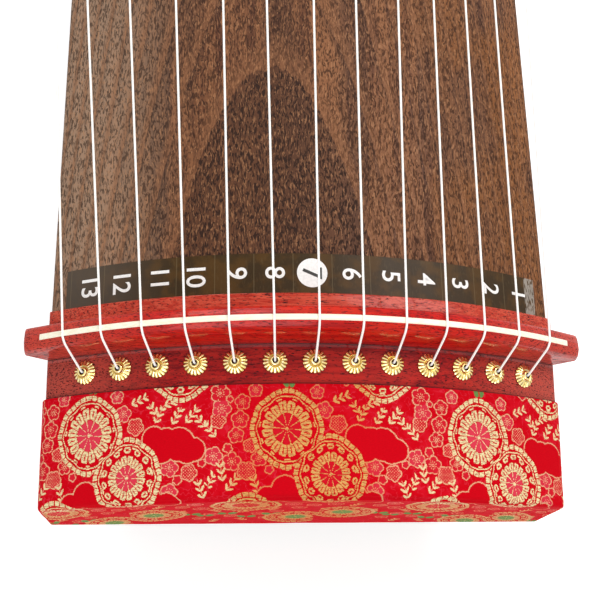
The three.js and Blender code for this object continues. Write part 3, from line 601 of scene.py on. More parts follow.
def draw_roundel(g, spot):
    """The woven lines and fills of the roundels: inside, pale threads, pink and green."""
    x, y, kind = nearest(g, spot, ROUNDELS, 9.5)
    x = x / ROUNDEL_ACROSS
    y = y / ROUNDEL_ALONG
    reach = (x * x + y * y).root()
    turn = g.sum("ARCTAN2", y, x)
    lobes = g.sum("COSINE", turn * 10)
    peak = turn.sine().size() ** 40
    reach = reach / (1 + lobes * 0.014 + peak * 0.07)
    gems_kind = kind.over(0.5)
    petal_share = 0.68 - gems_kind * 0.14
    band = near(reach, 0.935, 0.06)
    band_ticks = (turn * 34).sine().over(0.86) * band
    hairline = near(reach, 0.81 + lobes * 0.012, 0.016)
    petals = (turn * 8).sine().size()
    petal_reach = petal_share * (0.84 + petals.least(0.6) * 0.27)
    outer = reach.under(petal_reach) * reach.over(petal_share * 0.58) * petals.over(0.2)
    veins = near(petals, 1, 0.03) * near(reach, petal_share * 0.8, petal_share * 0.12)
    inner_waves = (turn * 5 + 0.4).sine().size()
    inner = reach.under(petal_share * 0.56 * (0.8 + inner_waves.least(0.6) * 0.33)) * reach.over(0.04)
    inner_lines = inner_waves.under(0.2) * reach.under(petal_share * 0.6) * reach.over(0.05)
    gems = near(reach, 0.68, 0.07) * ((turn * 7).sine().size() - (reach - 0.68).size() * 5).over(0.5) * gems_kind
    gem_cores = near(reach, 0.68, 0.022) * (turn * 7).sine().size().over(0.9) * gems_kind
    beads = near(reach, 0.745, 0.02) * (turn * 11).sine().over(0.55)
    heart = reach.under(0.045)
    pale = band.most(hairline).most(outer).most(gems).most(beads).most(inner_lines).most(heart)
    pale = pale * (1 - band_ticks) * (1 - gem_cores) * (1 - veins)
    return reach.under(0.995), pale, inner * (1 - inner_lines), kind.over(1.5) * reach.under(0.33)


def draw_blossoms(g, spot):
    """Thin lines of the blossoms, and where they are filled with pink."""
    x, y, value = nearest(g, spot, BLOSSOMS, 5, reach=lambda value: value % 10)
    dotted = value.over(19.5)
    filled = value.over(9.5) * (1 - dotted)
    radius = value - (dotted * 2 + filled) * 10
    far = (x * x + y * y).root()
    turn = g.sum("ARCTAN2", y, x) * 2.5 + value
    lobes = turn.sine().size()
    rim = radius * (0.8 + lobes * 0.2)
    line = near(far, rim, 0.26)
    inside = far.under(rim)
    stamens = near(far, radius * 0.38, radius * 0.1) * (turn * 4).sine().over(0.45)
    spokes = lobes.under(0.12) * near(far, radius * 0.72, radius * 0.14)
    middle = near(far, 0.55, 0.2)
    dots = ((x * 4.6).sine() * (y * 4.6).sine()).over(0.42) * inside * dotted
    details = stamens.most(middle).most(spokes) * radius.over(2.6)
    return line.most(details * (1 - dotted)).most(dots), inside, filled


def draw_sprigs(g, spot):
    """Pairs of leaves along a stem."""
    x, y, angle = nearest(g, spot, SPRIGS, 5)
    angle = angle * math.radians(1)
    cosine, sine = g.sum("COSINE", angle), g.sum("SINE", angle)
    run = x * cosine + y * sine
    aside = y * cosine - x * sine
    on_sprig = run.size().under(SPRIG_LENGTH / 2)
    stem = aside.size().under(0.17) * on_sprig
    cell = (run / 3 + 0.5).part() * 3 - 0.4
    leaf_run = cell * 0.77 + aside.size() * 0.64 - 1.6
    leaf_side = aside.size() * 0.77 - cell * 0.64
    leaf = ((leaf_run / 1.55) ** 2 + (leaf_side / 0.52) ** 2).under(1) * on_sprig
    return stem, leaf


def make_brocade():
    """Red brocade with pale and gold figures, woven in threads."""
    g = Look("brocade", roughness=0.7, Specular_IOR_Level=0.05)
    cloth = g.node("UVMap", uv_map="cloth")
    u, v, _ = g.apart(cloth)
    # The figures step from thread to thread, as weaving does
    wobble = g.noise(cloth, 2.2, detail=3)
    u_thread = g.sum("SNAP", u + wobble * 0.9, THREAD_ACROSS)
    v_thread = g.sum("SNAP", v + wobble * 0.7, THREAD_ALONG)
    u_on = u_thread - CLOTH_START[0]
    v_on = v_thread + u_on * CLOTH_TURN - CLOTH_START[1]
    spot = g.together(u_on - CELL_CORNER[0], v_on - CELL_CORNER[1])
    spot = g.vector("WRAP", spot, (CLOTH_REPEAT_ACROSS, CLOTH_REPEAT_ALONG, 1), (0, 0, -1))
    inside, pale, pink_petals, green_heart = draw_roundel(g, spot)

    cloud = None
    for x, y, radius in copies(CLOUDS, 9):
        part = g.vector("DISTANCE", spot, (x, y, 0), output=1) - radius
        cloud = part if cloud is None else cloud.least(part)
    cloud_line = cloud.size().under(0.3)
    open_ground = cloud.over(0.3) * (1 - inside)

    lines, in_blossom, filled = draw_blossoms(g, spot)
    stem, leaf = draw_sprigs(g, spot)
    x, y, size = nearest(g, spot, LEAVES, 5.5)
    green = (((x.size() - size) / size * 1.15) ** 2 + ((y - x.size() * 0.35) / size * 0.8) ** 2).under(1)
    green = green * (1 - inside)

    # Threads: fine rows along the cloth's width, with a few dark ones over the gold
    weft = (v * (2 * math.pi / THREAD_ALONG)).sine() * 0.5 + 0.5
    worn = g.noise(cloth, 1.3, 0.35)
    broad = g.noise(cloth, 7)
    dark_threads = g.noise(g.together(u, v + 16.8), 3.2, 0.42, detail=1).over(0.57)
    warm = g.ease(g.sum("COSINE", (u - WARM_MIDDLE) * (math.pi / CLOTH_REPEAT_ACROSS)), 0.15, 0.65)
    warm = warm.most(g.ease(v, -84, -88) * 0.75)
    gold = g.mix(warm, (236, 222, 170), (220, 168, 96))
    gold = g.mix(worn.under(0.42) * 0.55, gold, (176, 112, 66))
    ground = g.mix(worn, (218, 0, 22), (188, 0, 16))
    ground = g.mix(g.ease(broad, 0.45, 0.65) * open_ground * 0.35, ground, (222, 26, 48))
    pink = (220, 58, 78)
    tone = g.mix(in_blossom * open_ground * (0.22 + filled * 0.5 * (1 - warm * 0.6)), ground, pink)
    tone = g.mix(pink_petals * inside * (1 - warm * 0.85), tone, pink)
    vines = near(g.noise(g.together(u_thread, v_thread), 4.5, detail=1), 0.5, 0.014) * (1 - in_blossom)
    tone = g.mix(vines * open_ground * 0.4, tone, pink)
    thin = (lines * (1 - leaf)).most(stem) * open_ground
    tone = g.mix(thin.most(cloud_line * (1 - inside)) * (0.55 + worn * 0.5), tone, g.mix(0.35, gold, pink))
    tone = g.mix(leaf * open_ground * 0.9, tone, gold)
    tone = g.mix(pale * inside * (1 - dark_threads * 0.5), tone, gold)
    tone = g.mix((dark_threads * pale).least(1) * inside * 0.3, tone, (96, 46, 30))
    leaf_green = g.mix(worn, (70, 128, 66), (128, 150, 84))
    tone = g.mix(green.most(green_heart * (1 - pale * 0.7)), tone, leaf_green)
    raised = (pale * inside).most(thin).most(leaf * open_ground)
    return g.set(Base_Color=tone, Roughness=0.72 - raised * 0.2, Normal=g.bump(weft, 0.05, 0.6))


scorched_wood = make_scorched_wood("scorched_wood")
scorched_back = make_scorched_wood("scorched_back", figure=False)
pale_wood = make_pale_wood()
red_wood = make_red_wood("red_hardwood", (122, 4, 10), (172, 22, 20), (192, 44, 32), with_foot_line_and_hem_shadow=True)
ridge_wood = make_red_wood("red_ridge", (168, 8, 6), (222, 30, 18), (236, 66, 38))
ivory = make_plain("ivory", (255, 250, 232), (250, 240, 212), 0.4, 0.65, (25, 0.8, 0.8), roughness=0.4,
                   Specular_IOR_Level=0.3)
gold_metal = make_gold()
string_white = make_string_white()
bridge_white = make_plain("bridge_white", (246, 243, 234), (238, 232, 218), 0.4, 0.6, (16.6667,), roughness=0.32,
                          Coat_Weight=0.3, Coat_Roughness=0.15)
dark_film = make_film()
sign_white = make_plain("sign_white", (255, 255, 252), (243.4, 243.4, 240.6), 0.35, 0.7, (1.11111,), detail=2)
sign_dark = make_plain("sign_dark", (38, 33, 27), (35.8, 31.0, 25.2), 0.35, 0.7, (1.11111,), detail=2)
brocade = make_brocade()


# Board and sides: the hollowed shell, open underneath

ARCH_FACETS = 56
INNER_FACETS = 28
SHELL_STATIONS = 48
CORNER_STEPS = 3
CORNER_EASE = 2


def shell_ring(along):
    half = half_width_at(along)
    crown = seat_at(along) if along < PLATE_REAR else crown_at(along)
    base = base_at(along)
    ledge = base + BACK_THICKNESS + SEAT_GAP
    inner = half - SIDE_WALL
    inner_crown = crown_at(along) - CROWN_WALL
    arch = [(x, crown - drop) for x, drop in arc_across(CROWN_RADIUS, half, ARCH_FACETS)]
    hollow = [(x, inner_crown - drop) for x, drop in arc_across(CROWN_RADIUS - CROWN_WALL, inner, INNER_FACETS)]
    outline = arch + [(half, base), (half - LIP_WALL, base), (half - LIP_WALL, ledge), (inner, ledge)]
    outline += hollow[::-1] + [(-inner, ledge), (LIP_WALL - half, ledge), (LIP_WALL - half, base), (-half, base)]
    eases = [0] * len(outline)
    for corner in (0, ARCH_FACETS, ARCH_FACETS + 1, -1):
        eases[corner] = CORNER_EASE
    lean = END_LEAN if along < 0 else 0
    return [(x, along - lean * (crown - z) / (crown - base), z) for x, z in eased(outline, eases, CORNER_STEPS)]


stations = [HEAD_END, PLATE_REAR] + spread(PLATE_REAR, TAIL_END, SHELL_STATIONS)[1:]
shell_rings = [shell_ring(along) for along in stations]
shell_size = len(shell_rings[0])
# Number of the ring's point on the right inner ledge: the arch comes before it, with three rounded corners
LEDGE_POINT = ARCH_FACETS + 1 + 3 * CORNER_STEPS + 3


def shell_material(face):
    """Pale wood in the hollow, scorched wood outside it."""
    in_hollow = LEDGE_POINT <= face % shell_size <= LEDGE_POINT + INNER_FACETS + 1
    return int(in_hollow and face < shell_size * (len(stations) - 1))


add_piece("board_and_sides", loft(shell_rings), [scorched_wood, pale_wood], "body", "scorched_wood",
          ["soundboard_shell"], face_material=shell_material, sharp=35)


# Arched plates: the head plate and the tail plate

PLATE_EASE = 0.8
PLATE_STATIONS = 8


def arched_plate(first, last, face_at, face_radius, under_at):
    """A plate over the arch, with its upper edges eased along its sides and at both ends."""
    rings = []
    ease = PLATE_EASE
    rows = [(first, ease), (first + ease * 0.3, ease * 0.3), (first + ease, 0)]
    rows += [(along, 0) for along in spread(first, last, PLATE_STATIONS)[1:-1]]
    rows += [(last - ease, 0), (last - ease * 0.3, ease * 0.3), (last, ease)]
    for along, down in rows:
        half = half_width_at(along)
        top = [(x, face_at(along) - down - drop) for x, drop in arc_across(face_radius, half, ARCH_FACETS)]
        under = [(x, under_at(along) - drop) for x, drop in arc_across(CROWN_RADIUS, half, ARCH_FACETS)]
        outline = top + under[::-1]
        eases = [0] * len(outline)
        eases[0] = eases[ARCH_FACETS] = ease
        rings.append([(x, along, z) for x, z in eased(outline, eases)])
    return loft(rings)


add_piece("head_plate_polished", arched_plate(
    HEAD_END, PLATE_REAR, plate_face_at, PLATE_RADIUS, lambda along: seat_at(along) + SEAT_GAP),
    [red_wood], "body", "red_hardwood", ["head_plate"])

add_piece("tail_plate_polished", arched_plate(
    RIDGE_SPAN - TAIL_PLATE_FRONT, TAIL_END, tail_face_at, CROWN_RADIUS, lambda along: crown_at(along) + SEAT_GAP),
    [red_wood], "body", "red_hardwood", ["tail_plate"])


# Ridges, each with a pale strip let into its crest

RIDGE_STATIONS = 96
RIDGE_TIP_THICKNESS = 6.6
RIDGE_TIP_SHARE = 0.87
RIDGE_TIP_EASE = 0.5
# Places past the board's side where the bar has rings, as shares of its overhang
RIDGE_TIP_RINGS = (0.04, 0.35, 0.7, 0.95, 1)
HEAD_OVERHANG = 9.7
TAIL_OVERHANG = 5.5
STRIP_WIDTH = 2.9
STRIP_DEPTH = 3.4
STRIP_INSET = 8.1

# A ridge's section from its rear foot over the crest to its front foot: shares of its depth and of its rise, and
# the rounding of that corner in millimetres
RIDGE_SECTION = [
    (0.76, 0.14, 1.2),
    (0.55, 0.065, 0.8),
    (0.22, 0.032, 0),
    (0.183, 0.02, 0.3),
    (-0.252, 0.02, 0.3),
    (-0.3, 0.032, 0),
    (-0.66, 0.12, 1.2),
    (-0.86, 0.3, 1.6),
    (-0.87, 0.62, 1.5),
]


def ridge(name, crest_along, crest, half_length, overhang, face_under, facing):
    """The moulded bar, whose underside rises to its ends; its steep face looks to the head where facing is 1."""
    side = half_length - overhang
    rings = []
    outer = [side + overhang * share for share in RIDGE_TIP_RINGS]
    end_foot = crest - sag_at(RIDGE_RADIUS, half_length) - RIDGE_TIP_THICKNESS
    for x in [-reach for reach in outer[::-1]] + spread(-side, side, RIDGE_STATIONS) + outer:
        share = max(0, (abs(x) - side) / overhang)
        top = crest - sag_at(RIDGE_RADIUS, x)
        rise = top - face_under(crest_along, x)
        tip = RIDGE_TIP_EASE if share > 0.99 else 0

        def spot(depth, height):
            return (crest_along + facing * depth * (1 - tip * 0.12), height)

        def foot(depth):
            seat = face_under(crest_along + facing * depth, min(abs(x), side)) + SEAT_GAP
            return spot(depth * (1 + (RIDGE_TIP_SHARE - 1) * share), seat * (1 - share) + end_foot * share + tip)

        outline = [foot(RIDGE_REAR)]
        for part, down, _ in RIDGE_SECTION:
            depth = RIDGE_REAR if part > 0 else RIDGE_FRONT
            outline.append(spot(part * depth, max(top - down * rise - tip, foot(-RIDGE_FRONT)[1] + 0.4)))
        outline.append(foot(-RIDGE_FRONT))
        eases = [0.3] + [ease * (1 - 0.7 * share) for _, _, ease in RIDGE_SECTION[:-1]]
        eases += [RIDGE_SECTION[-1][2] if share == 0 else 0.02, 0.2 if share == 0 else 0.1]
        rings.append([(x, along, z) for along, z in eased(outline, eases)])
    add_piece(name + "_moulding", loft(rings), [ridge_wood], "body", "red_hardwood", [name], sharp=48)

    half = STRIP_WIDTH / 2
    reach = half_length - STRIP_INSET
    rings = []
    for x in spread(-reach, reach, RIDGE_STATIONS):
        top = crest - sag_at(RIDGE_RADIUS, x)
        outline = [(half, -STRIP_DEPTH), (half, 0), (-half, 0), (-half, -STRIP_DEPTH)]
        rings.append([(x, crest_along + a, top + z) for a, z in eased(outline, [0, 0.6, 0.6, 0], 4)])
    add_piece(name + "_inlay", loft(rings), [ivory], "body", "ivory", [name + "_strip"])


ridge("head_ridge", 0, HEAD_CREST, box_in_mm("head_ridge")[1].x, HEAD_OVERHANG,
      lambda along, x: plate_face_at(along) - sag_at(PLATE_RADIUS, x), 1)
ridge("tail_ridge", RIDGE_SPAN, TAIL_CREST, box_in_mm("tail_ridge")[1].x, TAIL_OVERHANG,
      lambda along, x: tail_face_at(along) - sag_at(CROWN_RADIUS, x), -1)


# String places

def face_normal(radius, across, slope):
    return Vector((across / math.sqrt(radius * radius - across * across), -slope, 1)).normalized()


def face_spot(radius, crown, along, arc, slope):
    """A point on an arched face, at a distance along its curve from the middle, and the normal there."""
    across = radius * math.sin(arc / radius)
    return Vector((across, along, crown - sag_at(radius, across))), face_normal(radius, across, slope)


def string_offset(index):
    return (STRINGS - 1) / 2 - index


def head_hole(index):
    arc = string_offset(index) * ROSETTE_PITCH
    return face_spot(PLATE_RADIUS, plate_face_at(ROSETTE_ALONG), ROSETTE_ALONG, arc, PLATE_SLOPE)


def tail_hole(index):
    along = RIDGE_SPAN + TAIL_HOLE_ALONG
    return face_spot(CROWN_RADIUS, tail_face_at(along), along, string_offset(index) * TAIL_HOLE_PITCH, slope_at(along))


LONGEST_STRING = 1120
TUNING_HALF_TONES = [7, 0, 2, 3, 7, 8, 12, 14, 15, 19, 20, 24, 26]
BRIDGE_ACROSS_SHARES = [5.25, 4.4, 3.65, 3.05, 2.1, 0.95, -0.05, -1.2, -2.1, -3.1, -4.15, -4.9, -5.45]


def bridge_along(index):
    return LONGEST_STRING * 2 ** (-TUNING_HALF_TONES[index] / 12)


def bridge_spot(index):
    along = bridge_along(index)
    return face_spot(CROWN_RADIUS, crown_at(along), along, BRIDGE_ACROSS_SHARES[index] * RIDGE_PITCH, slope_at(along))


def turned(vertices, origin, side, up, out):
    """Vertices of a piece in its own axes, put at a place with those axes."""
    return [origin + side * a + up * b + out * c for a, b, c in vertices]


# Rosettes: a dished ring of wedge-shaped flutes round a raised nozzle; plain collars sit at the tail

FLUTES = 18
FLUTE_SHARPNESS = 2.5
RIM_RADIUS = 5.2
TROUGH_RADIUS = 2.9
BORE_RADIUS = 1.3
ROSETTE_GAP = 0.05
# Radius, height and depth of the flutes there, from the underside over the rim to the nozzle and into its bore
ROSETTE_PROFILE = [
    (1.15, 0, 0), (5.3, 0, 0), (5.6, 0.2, 0.1), (5.7, 0.55, 0.3), (5.45, 0.85, 0.5), (4.8, 1.2, 0.6), (4.1, 1.55, 0.5),
    (3.5, 1.85, 0.3), (3.2, 1.95, 0.05), (3.0, 1.8, 0), (2.8, 1.75, 0), (2.6, 1.95, 0), (2.4, 2.5, 0), (2.25, 2.9, 0),
    (2.0, 3.25, 0), (1.6, 3.3, 0), (1.25, 3.05, 0), (1.1, 2.2, 0), (1.1, 0.8, 0),
]
COLLAR_PROFILE = [
    (1.15, -0.2, 0), (4.4, -0.2, 0), (4.6, 0.3, 0), (4.5, 0.8, 0), (3.9, 1.2, 0), (3.2, 1.35, 0), (2.7, 1.7, 0),
    (2.2, 1.8, 0), (1.6, 1.65, 0), (1.3, 1.2, 0), (1.15, 0.6, 0),
]


def lathe(profile, steps, flutes=0):
    """A turned ring with wedge-shaped flutes, and how far each of its vertices lies in a hollow."""
    rings = []
    hollows = []
    for k, angle in enumerate(full_turn(steps)):
        phase = (k * flutes / steps) % 1
        wedge = abs(phase * 2 - 1) ** FLUTE_SHARPNESS if flutes else 0
        ring = []
        for radius, up, depth in profile:
            reach = radius - depth * wedge * (0.9 if radius > RIM_RADIUS else 0)
            ring.append((reach * math.cos(angle), max(up - depth * wedge, min(up, 0)), reach * math.sin(angle)))
            trough = max(0, 1 - abs(radius - TROUGH_RADIUS) / 0.3) if flutes and up < 2 else 0
            bore = 1 if radius < BORE_RADIUS and 0.1 < up < 3.1 else 0
            hollows.append(max(wedge ** 2 * min(1, depth * 2.5), trough * 0.8, bore))
        rings.append(ring)
    vertices, faces = loft(rings, ends=False)
    count = len(profile)
    faces += [((steps - 1) * count + i, (steps - 1) * count + (i + 1) % count, (i + 1) % count, i)
              for i in range(count)]
    return vertices, faces, hollows


def axes_on(normal):
    side = Vector((1, 0, 0))
    side = (side - normal * side.dot(normal)).normalized()
    return side, normal, side.cross(normal)


def add_gilded(name, shape, origin, normal, replaces=()):
    vertices, faces, hollows = shape
    obj = add_piece(name, (turned(vertices, origin, *axes_on(normal)), faces), [gold_metal], "body", "gold_metal",
                    replaces, sharp=55)
    obj.data.attributes.new("hollow", "FLOAT", "POINT").data.foreach_set("value", hollows)


rosette_shape = lathe(ROSETTE_PROFILE, FLUTES * 8, FLUTES)
collar_shape = lathe(COLLAR_PROFILE, 40)
for index, number in enumerate(NUMBERS):
    point, normal = head_hole(index)
    add_gilded(f"rosette_{number}", rosette_shape, point + normal * ROSETTE_GAP, normal, [f"head_rosette_{number}"])
    point, normal = tail_hole(index)
    add_gilded(f"tail_collar_{number}", collar_shape, point, normal)


# Tail cap: a lobed leaf over the end of the tail plate, with an apron down the end of the shell

CAP_FACETS = 96
CAP_THICKNESS = 6
CAP_LENGTH = 44
CAP_LOBE_DEPTH = 11
CAP_LOBES = 3
CAP_APRON = 8
CAP_SIDE_INSET = 0.8


def hollow_top_at(along, across):
    reach = min(abs(across), half_width_at(along) - SIDE_WALL)
    return crown_at(along) - CROWN_WALL - sag_at(CROWN_RADIUS - CROWN_WALL, reach)


def cap_ring(x, inset):
    waves = CAP_LOBES * math.pi * x / half_width_at(TAIL_END) / 2
    front = TAIL_END - CAP_LENGTH + CAP_LOBE_DEPTH * abs(math.sin(waves)) + inset
    end = TAIL_END + SEAT_GAP

    def under(along):
        return tail_face_at(along) - sag_at(CROWN_RADIUS, x) + SEAT_GAP

    foot = hollow_top_at(TAIL_END, x)
    top = under(end) + CAP_THICKNESS - inset
    crest = (front + end) / 2
    outline = [
        (front, under(front)), (end, under(end)), (end, foot), (end + CAP_APRON - inset, foot),
        (end + CAP_APRON - inset, top), (crest, under(crest) + CAP_THICKNESS - inset),
        (front, under(front) + CAP_THICKNESS - inset),
    ]
    return [(x, a, z) for a, z in eased(outline, [0.4, 0, 0, 2.5, 3, 0, 2.5], 5)]


cap_reach = half_width_at(TAIL_END)
cap_places = [(x, 0) for x in spread(CAP_SIDE_INSET - cap_reach, cap_reach - CAP_SIDE_INSET, CAP_FACETS)]
cap_places = [(-cap_reach, CAP_SIDE_INSET)] + cap_places + [(cap_reach, CAP_SIDE_INSET)]
cap_shape = loft([cap_ring(x, inset) for x, inset in cap_places])
add_piece("tail_leaf", cap_shape, [red_wood], "body", "red_hardwood", ["tail_cap"], sharp=50)


# Bridges: a forked outline seen along the string, tapered from its feet to its tip

BRIDGE_HEIGHT = 56
BRIDGE_HALF_SPREAD = 23
LAST_BRIDGE_REACH = 19
BRIDGE_FOOT_LENGTH = 13
BRIDGE_TOP_LENGTH = 4.2
NECK_HALF_WIDTH = 3.4
# Heights of the neck and of the waist's bend, as shares of the tip's height, and of the fork's bend
NECK_SHARE = 0.84
WAIST_SHARE = 0.34
FORK_SHARE = 0.86
TIP_HALF_WIDTH = 2.6
TOE_HEIGHT = 4
FOOT_WIDTH = 10
FORK_HEIGHT = 27
# Rows of a bridge's skin from its one face to the other: hand, and how far its outline and its face are drawn in
BRIDGE_ROWS = [(-1, 0.9, 0), (-1, 0.3, 0.25), (-1, 0, 0.9), (1, 0, 0.9), (1, 0.3, 0.25), (1, 0.9, 0)]


def bridge_half(reach):
    """Right half of a bridge's outline, from the groove in its tip down and round to the top of the fork."""
    tip = BRIDGE_HEIGHT - STRING_RADIUS - SEAT_GAP
    neck = tip * NECK_SHARE

    def floor(x):
        return SEAT_GAP - sag_at(CROWN_RADIUS, x)

    heel = reach - FOOT_WIDTH
    half = [(0, tip), (1.1, tip + 0.45), (1.7, tip + 0.7), (TIP_HALF_WIDTH - 0.4, tip + 0.4)]
    half += [(TIP_HALF_WIDTH, tip - 0.5), (NECK_HALF_WIDTH, neck)]
    half += bend(Vector((NECK_HALF_WIDTH, neck)), Vector((NECK_HALF_WIDTH + STRING_RADIUS, tip * WAIST_SHARE)),
                 Vector((reach, TOE_HEIGHT + floor(reach))), 16)[1:]
    half += [(reach, TOE_HEIGHT / 2 + floor(reach)), (reach, floor(reach))]
    half += [(heel + FOOT_WIDTH / 2, floor(heel + FOOT_WIDTH / 2)), (heel, floor(heel))]
    half += bend(Vector((heel, floor(heel))), Vector((NECK_HALF_WIDTH, FORK_HEIGHT * FORK_SHARE)),
                 Vector((0, FORK_HEIGHT)), 14)[1:]
    return half


def bridge_shape(left_reach, right_reach):
    right = bridge_half(right_reach)
    left = [(-x, z) for x, z in bridge_half(left_reach)][1:-1][::-1]
    outline = right + left
    count = len(outline)
    normals = []
    for i in range(count):
        before, after = Vector(outline[i - 1]), Vector(outline[(i + 1) % count])
        along = (after - before).normalized()
        normals.append(Vector((along.y, -along.x)))
    rings = []
    for side, inset, back in BRIDGE_ROWS:
        ring = []
        for (x, z), normal in zip(outline, normals):
            climb = max(0, (z - TOE_HEIGHT) / (BRIDGE_HEIGHT - TOE_HEIGHT))
            length = BRIDGE_FOOT_LENGTH + (BRIDGE_TOP_LENGTH - BRIDGE_FOOT_LENGTH) * climb ** 0.9
            depth = side * (length / 2 - back)
            pull = 0 if z < TOE_HEIGHT / 2 else inset
            ring.append((x + normal.x * pull, z + normal.y * pull, depth))
        rings.append(ring)
    return loft(rings)


def bridge_axes(index):
    point, normal = bridge_spot(index)
    headward = Vector((0, -1, -slope_at(bridge_along(index)))).normalized()
    return point, normal.cross(headward), normal, headward


for index, number in enumerate(NUMBERS):
    left_reach = LAST_BRIDGE_REACH if index == STRINGS - 1 else BRIDGE_HALF_SPREAD
    vertices, faces = bridge_shape(left_reach, BRIDGE_HALF_SPREAD)
    add_piece(f"bridge_white_{number}", (turned(vertices, *bridge_axes(index)), faces), [bridge_white],
              f"bridge_{number}", "bridge_white", [f"bridge_{number}"], sharp=45)


# Strings: each in two stretches, which meet in the groove of its bridge

STRING_SIDES = 12
REST = STRING_RADIUS + 0.05        # from a face to the middle of a string that lies on it
KNOT_RADIUS = 2.4
KNOT_STEPS = 14
HEAD_KNOT_LENGTH = 2.2
TAIL_KNOT_LENGTH = 5.5
NOZZLE_TOP = 3.2
COLLAR_TOP = 1.8
SHOULDER_SHARE = 0.7               # where a string leaves the round top of a ridge, as a share of its depth
SHOULDER_DROP = 1.9
FRONT_DROP = 4.6
CAP_TURN = 2.5                     # rounding of a string's bends over the cap and under it
UNDER_WALL = 4                     # how far a string hangs under the shell's wall at the tail
HEAD_RIDGE = (0, HEAD_CREST, RIDGE_PITCH)
TAIL_RIDGE = (RIDGE_SPAN, TAIL_CREST, TAIL_PITCH)


def over_ridge(ridge_place, index, depth, drop=0):
    """A point of a string, some way in front of or behind a ridge's crest and under the height of its arch."""
    crest_along, crest, pitch = ridge_place
    point, normal = face_spot(RIDGE_RADIUS, crest, crest_along + depth, string_offset(index) * pitch, 0)
    return point + normal * (REST - drop)


def knot_path(point, axis, turns, radius, length):
    side = axis.orthogonal().normalized()
    other = axis.cross(side)
    steps = turns * KNOT_STEPS
    return [point + (side * math.cos(a) + other * math.sin(a)) * radius + axis * (length * (i / steps - 0.5))
            for i, a in enumerate(spread(0, 2 * math.pi * turns, steps))]


def string_piece(stretch, number, paths):
    """One stretch of a string with its knot; the coordinates "twist" give the turn and the run along it."""
    shapes = []
    runs = []
    for path in paths:
        shapes.append(loft(tube(path, STRING_RADIUS, STRING_SIDES)))
        run = 0
        for i, point in enumerate(path):
            run += (point - path[i - 1]).length if i else 0
            runs += [run] * STRING_SIDES
    obj = add_object(f"string_{stretch}_{number}", *merged(shapes), [string_white], sharp=60)
    mesh = obj.data
    layer = mesh.uv_layers.new(name="twist")
    for polygon in mesh.polygons:
        turns = [v % STRING_SIDES for v in polygon.vertices]
        wraps = max(turns) - min(turns) > STRING_SIDES / 2 and len(turns) == 4
        for loop, turn, vertex in zip(polygon.loop_indices, turns, polygon.vertices):
            turn = turn + STRING_SIDES if wraps and turn < STRING_SIDES / 2 else turn
            layer.uv[loop].vector = (turn / STRING_SIDES, runs[vertex])
    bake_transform(obj)
    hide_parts(f"string_{number}")


for index, number in enumerate(NUMBERS):
    hole, up = head_hole(index)
    collar, tail_up = tail_hole(index)
    stand, _, bridge_up, _ = bridge_axes(index)
    top = stand + bridge_up * (BRIDGE_HEIGHT - SEAT_GAP + 0.05)
    crest = over_ridge(HEAD_RIDGE, index, 0)
    knot = hole - up * (PLATE_RISE + CROWN_WALL + KNOT_RADIUS * 2)
    front_path = [
        knot,
        hole + up * NOZZLE_TOP,
        over_ridge(HEAD_RIDGE, index, -RIDGE_FRONT, FRONT_DROP),
        over_ridge(HEAD_RIDGE, index, -RIDGE_FRONT * SHOULDER_SHARE, SHOULDER_DROP),
        over_ridge(HEAD_RIDGE, index, -STRIP_WIDTH / 2),
        crest,
        top,
    ]
    head_knot = knot_path(knot, up, 3, KNOT_RADIUS - STRING_RADIUS, HEAD_KNOT_LENGTH)
    front_path = eased_path(front_path, [0, 0.7, 2.4, 2.6, 1, 1, 0])
    string_piece("front", number, [front_path, head_knot])

    tail_crest = over_ridge(TAIL_RIDGE, index, 0)
    sink = -(TAIL_PLATE_THICKNESS + SEAT_GAP + CROWN_WALL + UNDER_WALL)
    under = collar + tail_up * sink + Vector((0, 2, 0))
    sag = sag_at(CROWN_RADIUS, under.x)
    hollow = hollow_top_at(TAIL_END, under.x)
    cap_top = tail_face_at(TAIL_END) + SEAT_GAP + CAP_THICKNESS - sag
    turn = TAIL_END + SEAT_GAP + CAP_APRON + REST

    def at_tail(along, height):
        return Vector((under.x, along, height))

    tail_top = collar + tail_up * (COLLAR_TOP + KNOT_RADIUS)
    cap_front = TAIL_END - CAP_LENGTH
    rear_path = [
        top,
        tail_crest,
        over_ridge(TAIL_RIDGE, index, STRIP_WIDTH / 2),
        over_ridge(TAIL_RIDGE, index, RIDGE_FRONT * SHOULDER_SHARE, SHOULDER_DROP),
        tail_top,
        collar + tail_up * (sink + 2),
        under,
        at_tail(turn - CAP_TURN, hollow - REST - SEAT_GAP),
        at_tail(turn, hollow + CAP_TURN),
        at_tail(turn, cap_top - CAP_TURN),
        at_tail(turn - CAP_TURN, cap_top + REST),
        at_tail(cap_front, tail_face_at(cap_front) - sag + SEAT_GAP + CAP_THICKNESS + REST),
        tail_top + Vector((0, STRING_RADIUS, 0)),
    ]
    to_ridge = (tail_crest - tail_top).normalized()
    tail_knot = knot_path(tail_top, to_ridge, 4, STRING_RADIUS * 1.9, TAIL_KNOT_LENGTH)
    rear_path = eased_path(rear_path, [0, 1, 1, 2.5, 2, 2, 2, 2, 2, 2, 2, 6, 0])
    string_piece("rear", number, [rear_path, tail_knot])


# Number label: a dark film across the board, with a number beside each string

label_low, label_high = box_in_mm("number_label")
LABEL_THICKNESS = 0.4
LABEL_GAP = 0.02


def label_ring(along):
    crown = crown_at(along)
    arc = arc_across(CROWN_RADIUS, label_high.x, ARCH_FACETS)
    top = [(x, along, crown + LABEL_THICKNESS - drop) for x, drop in arc]
    return top + [(x, along, crown + LABEL_GAP - drop) for x, drop in arc[::-1]]


add_piece("number_film", loft([label_ring(along) for along in spread(label_low.y, label_high.y, 6)]), [dark_film],
          "body", "dark_film", ["number_label"])

SIGN_HEIGHT = 9.2
SIGN_THICKNESS = 0.06
FONT_SHARE = 0.7                   # a number's height, as a share of its font's size
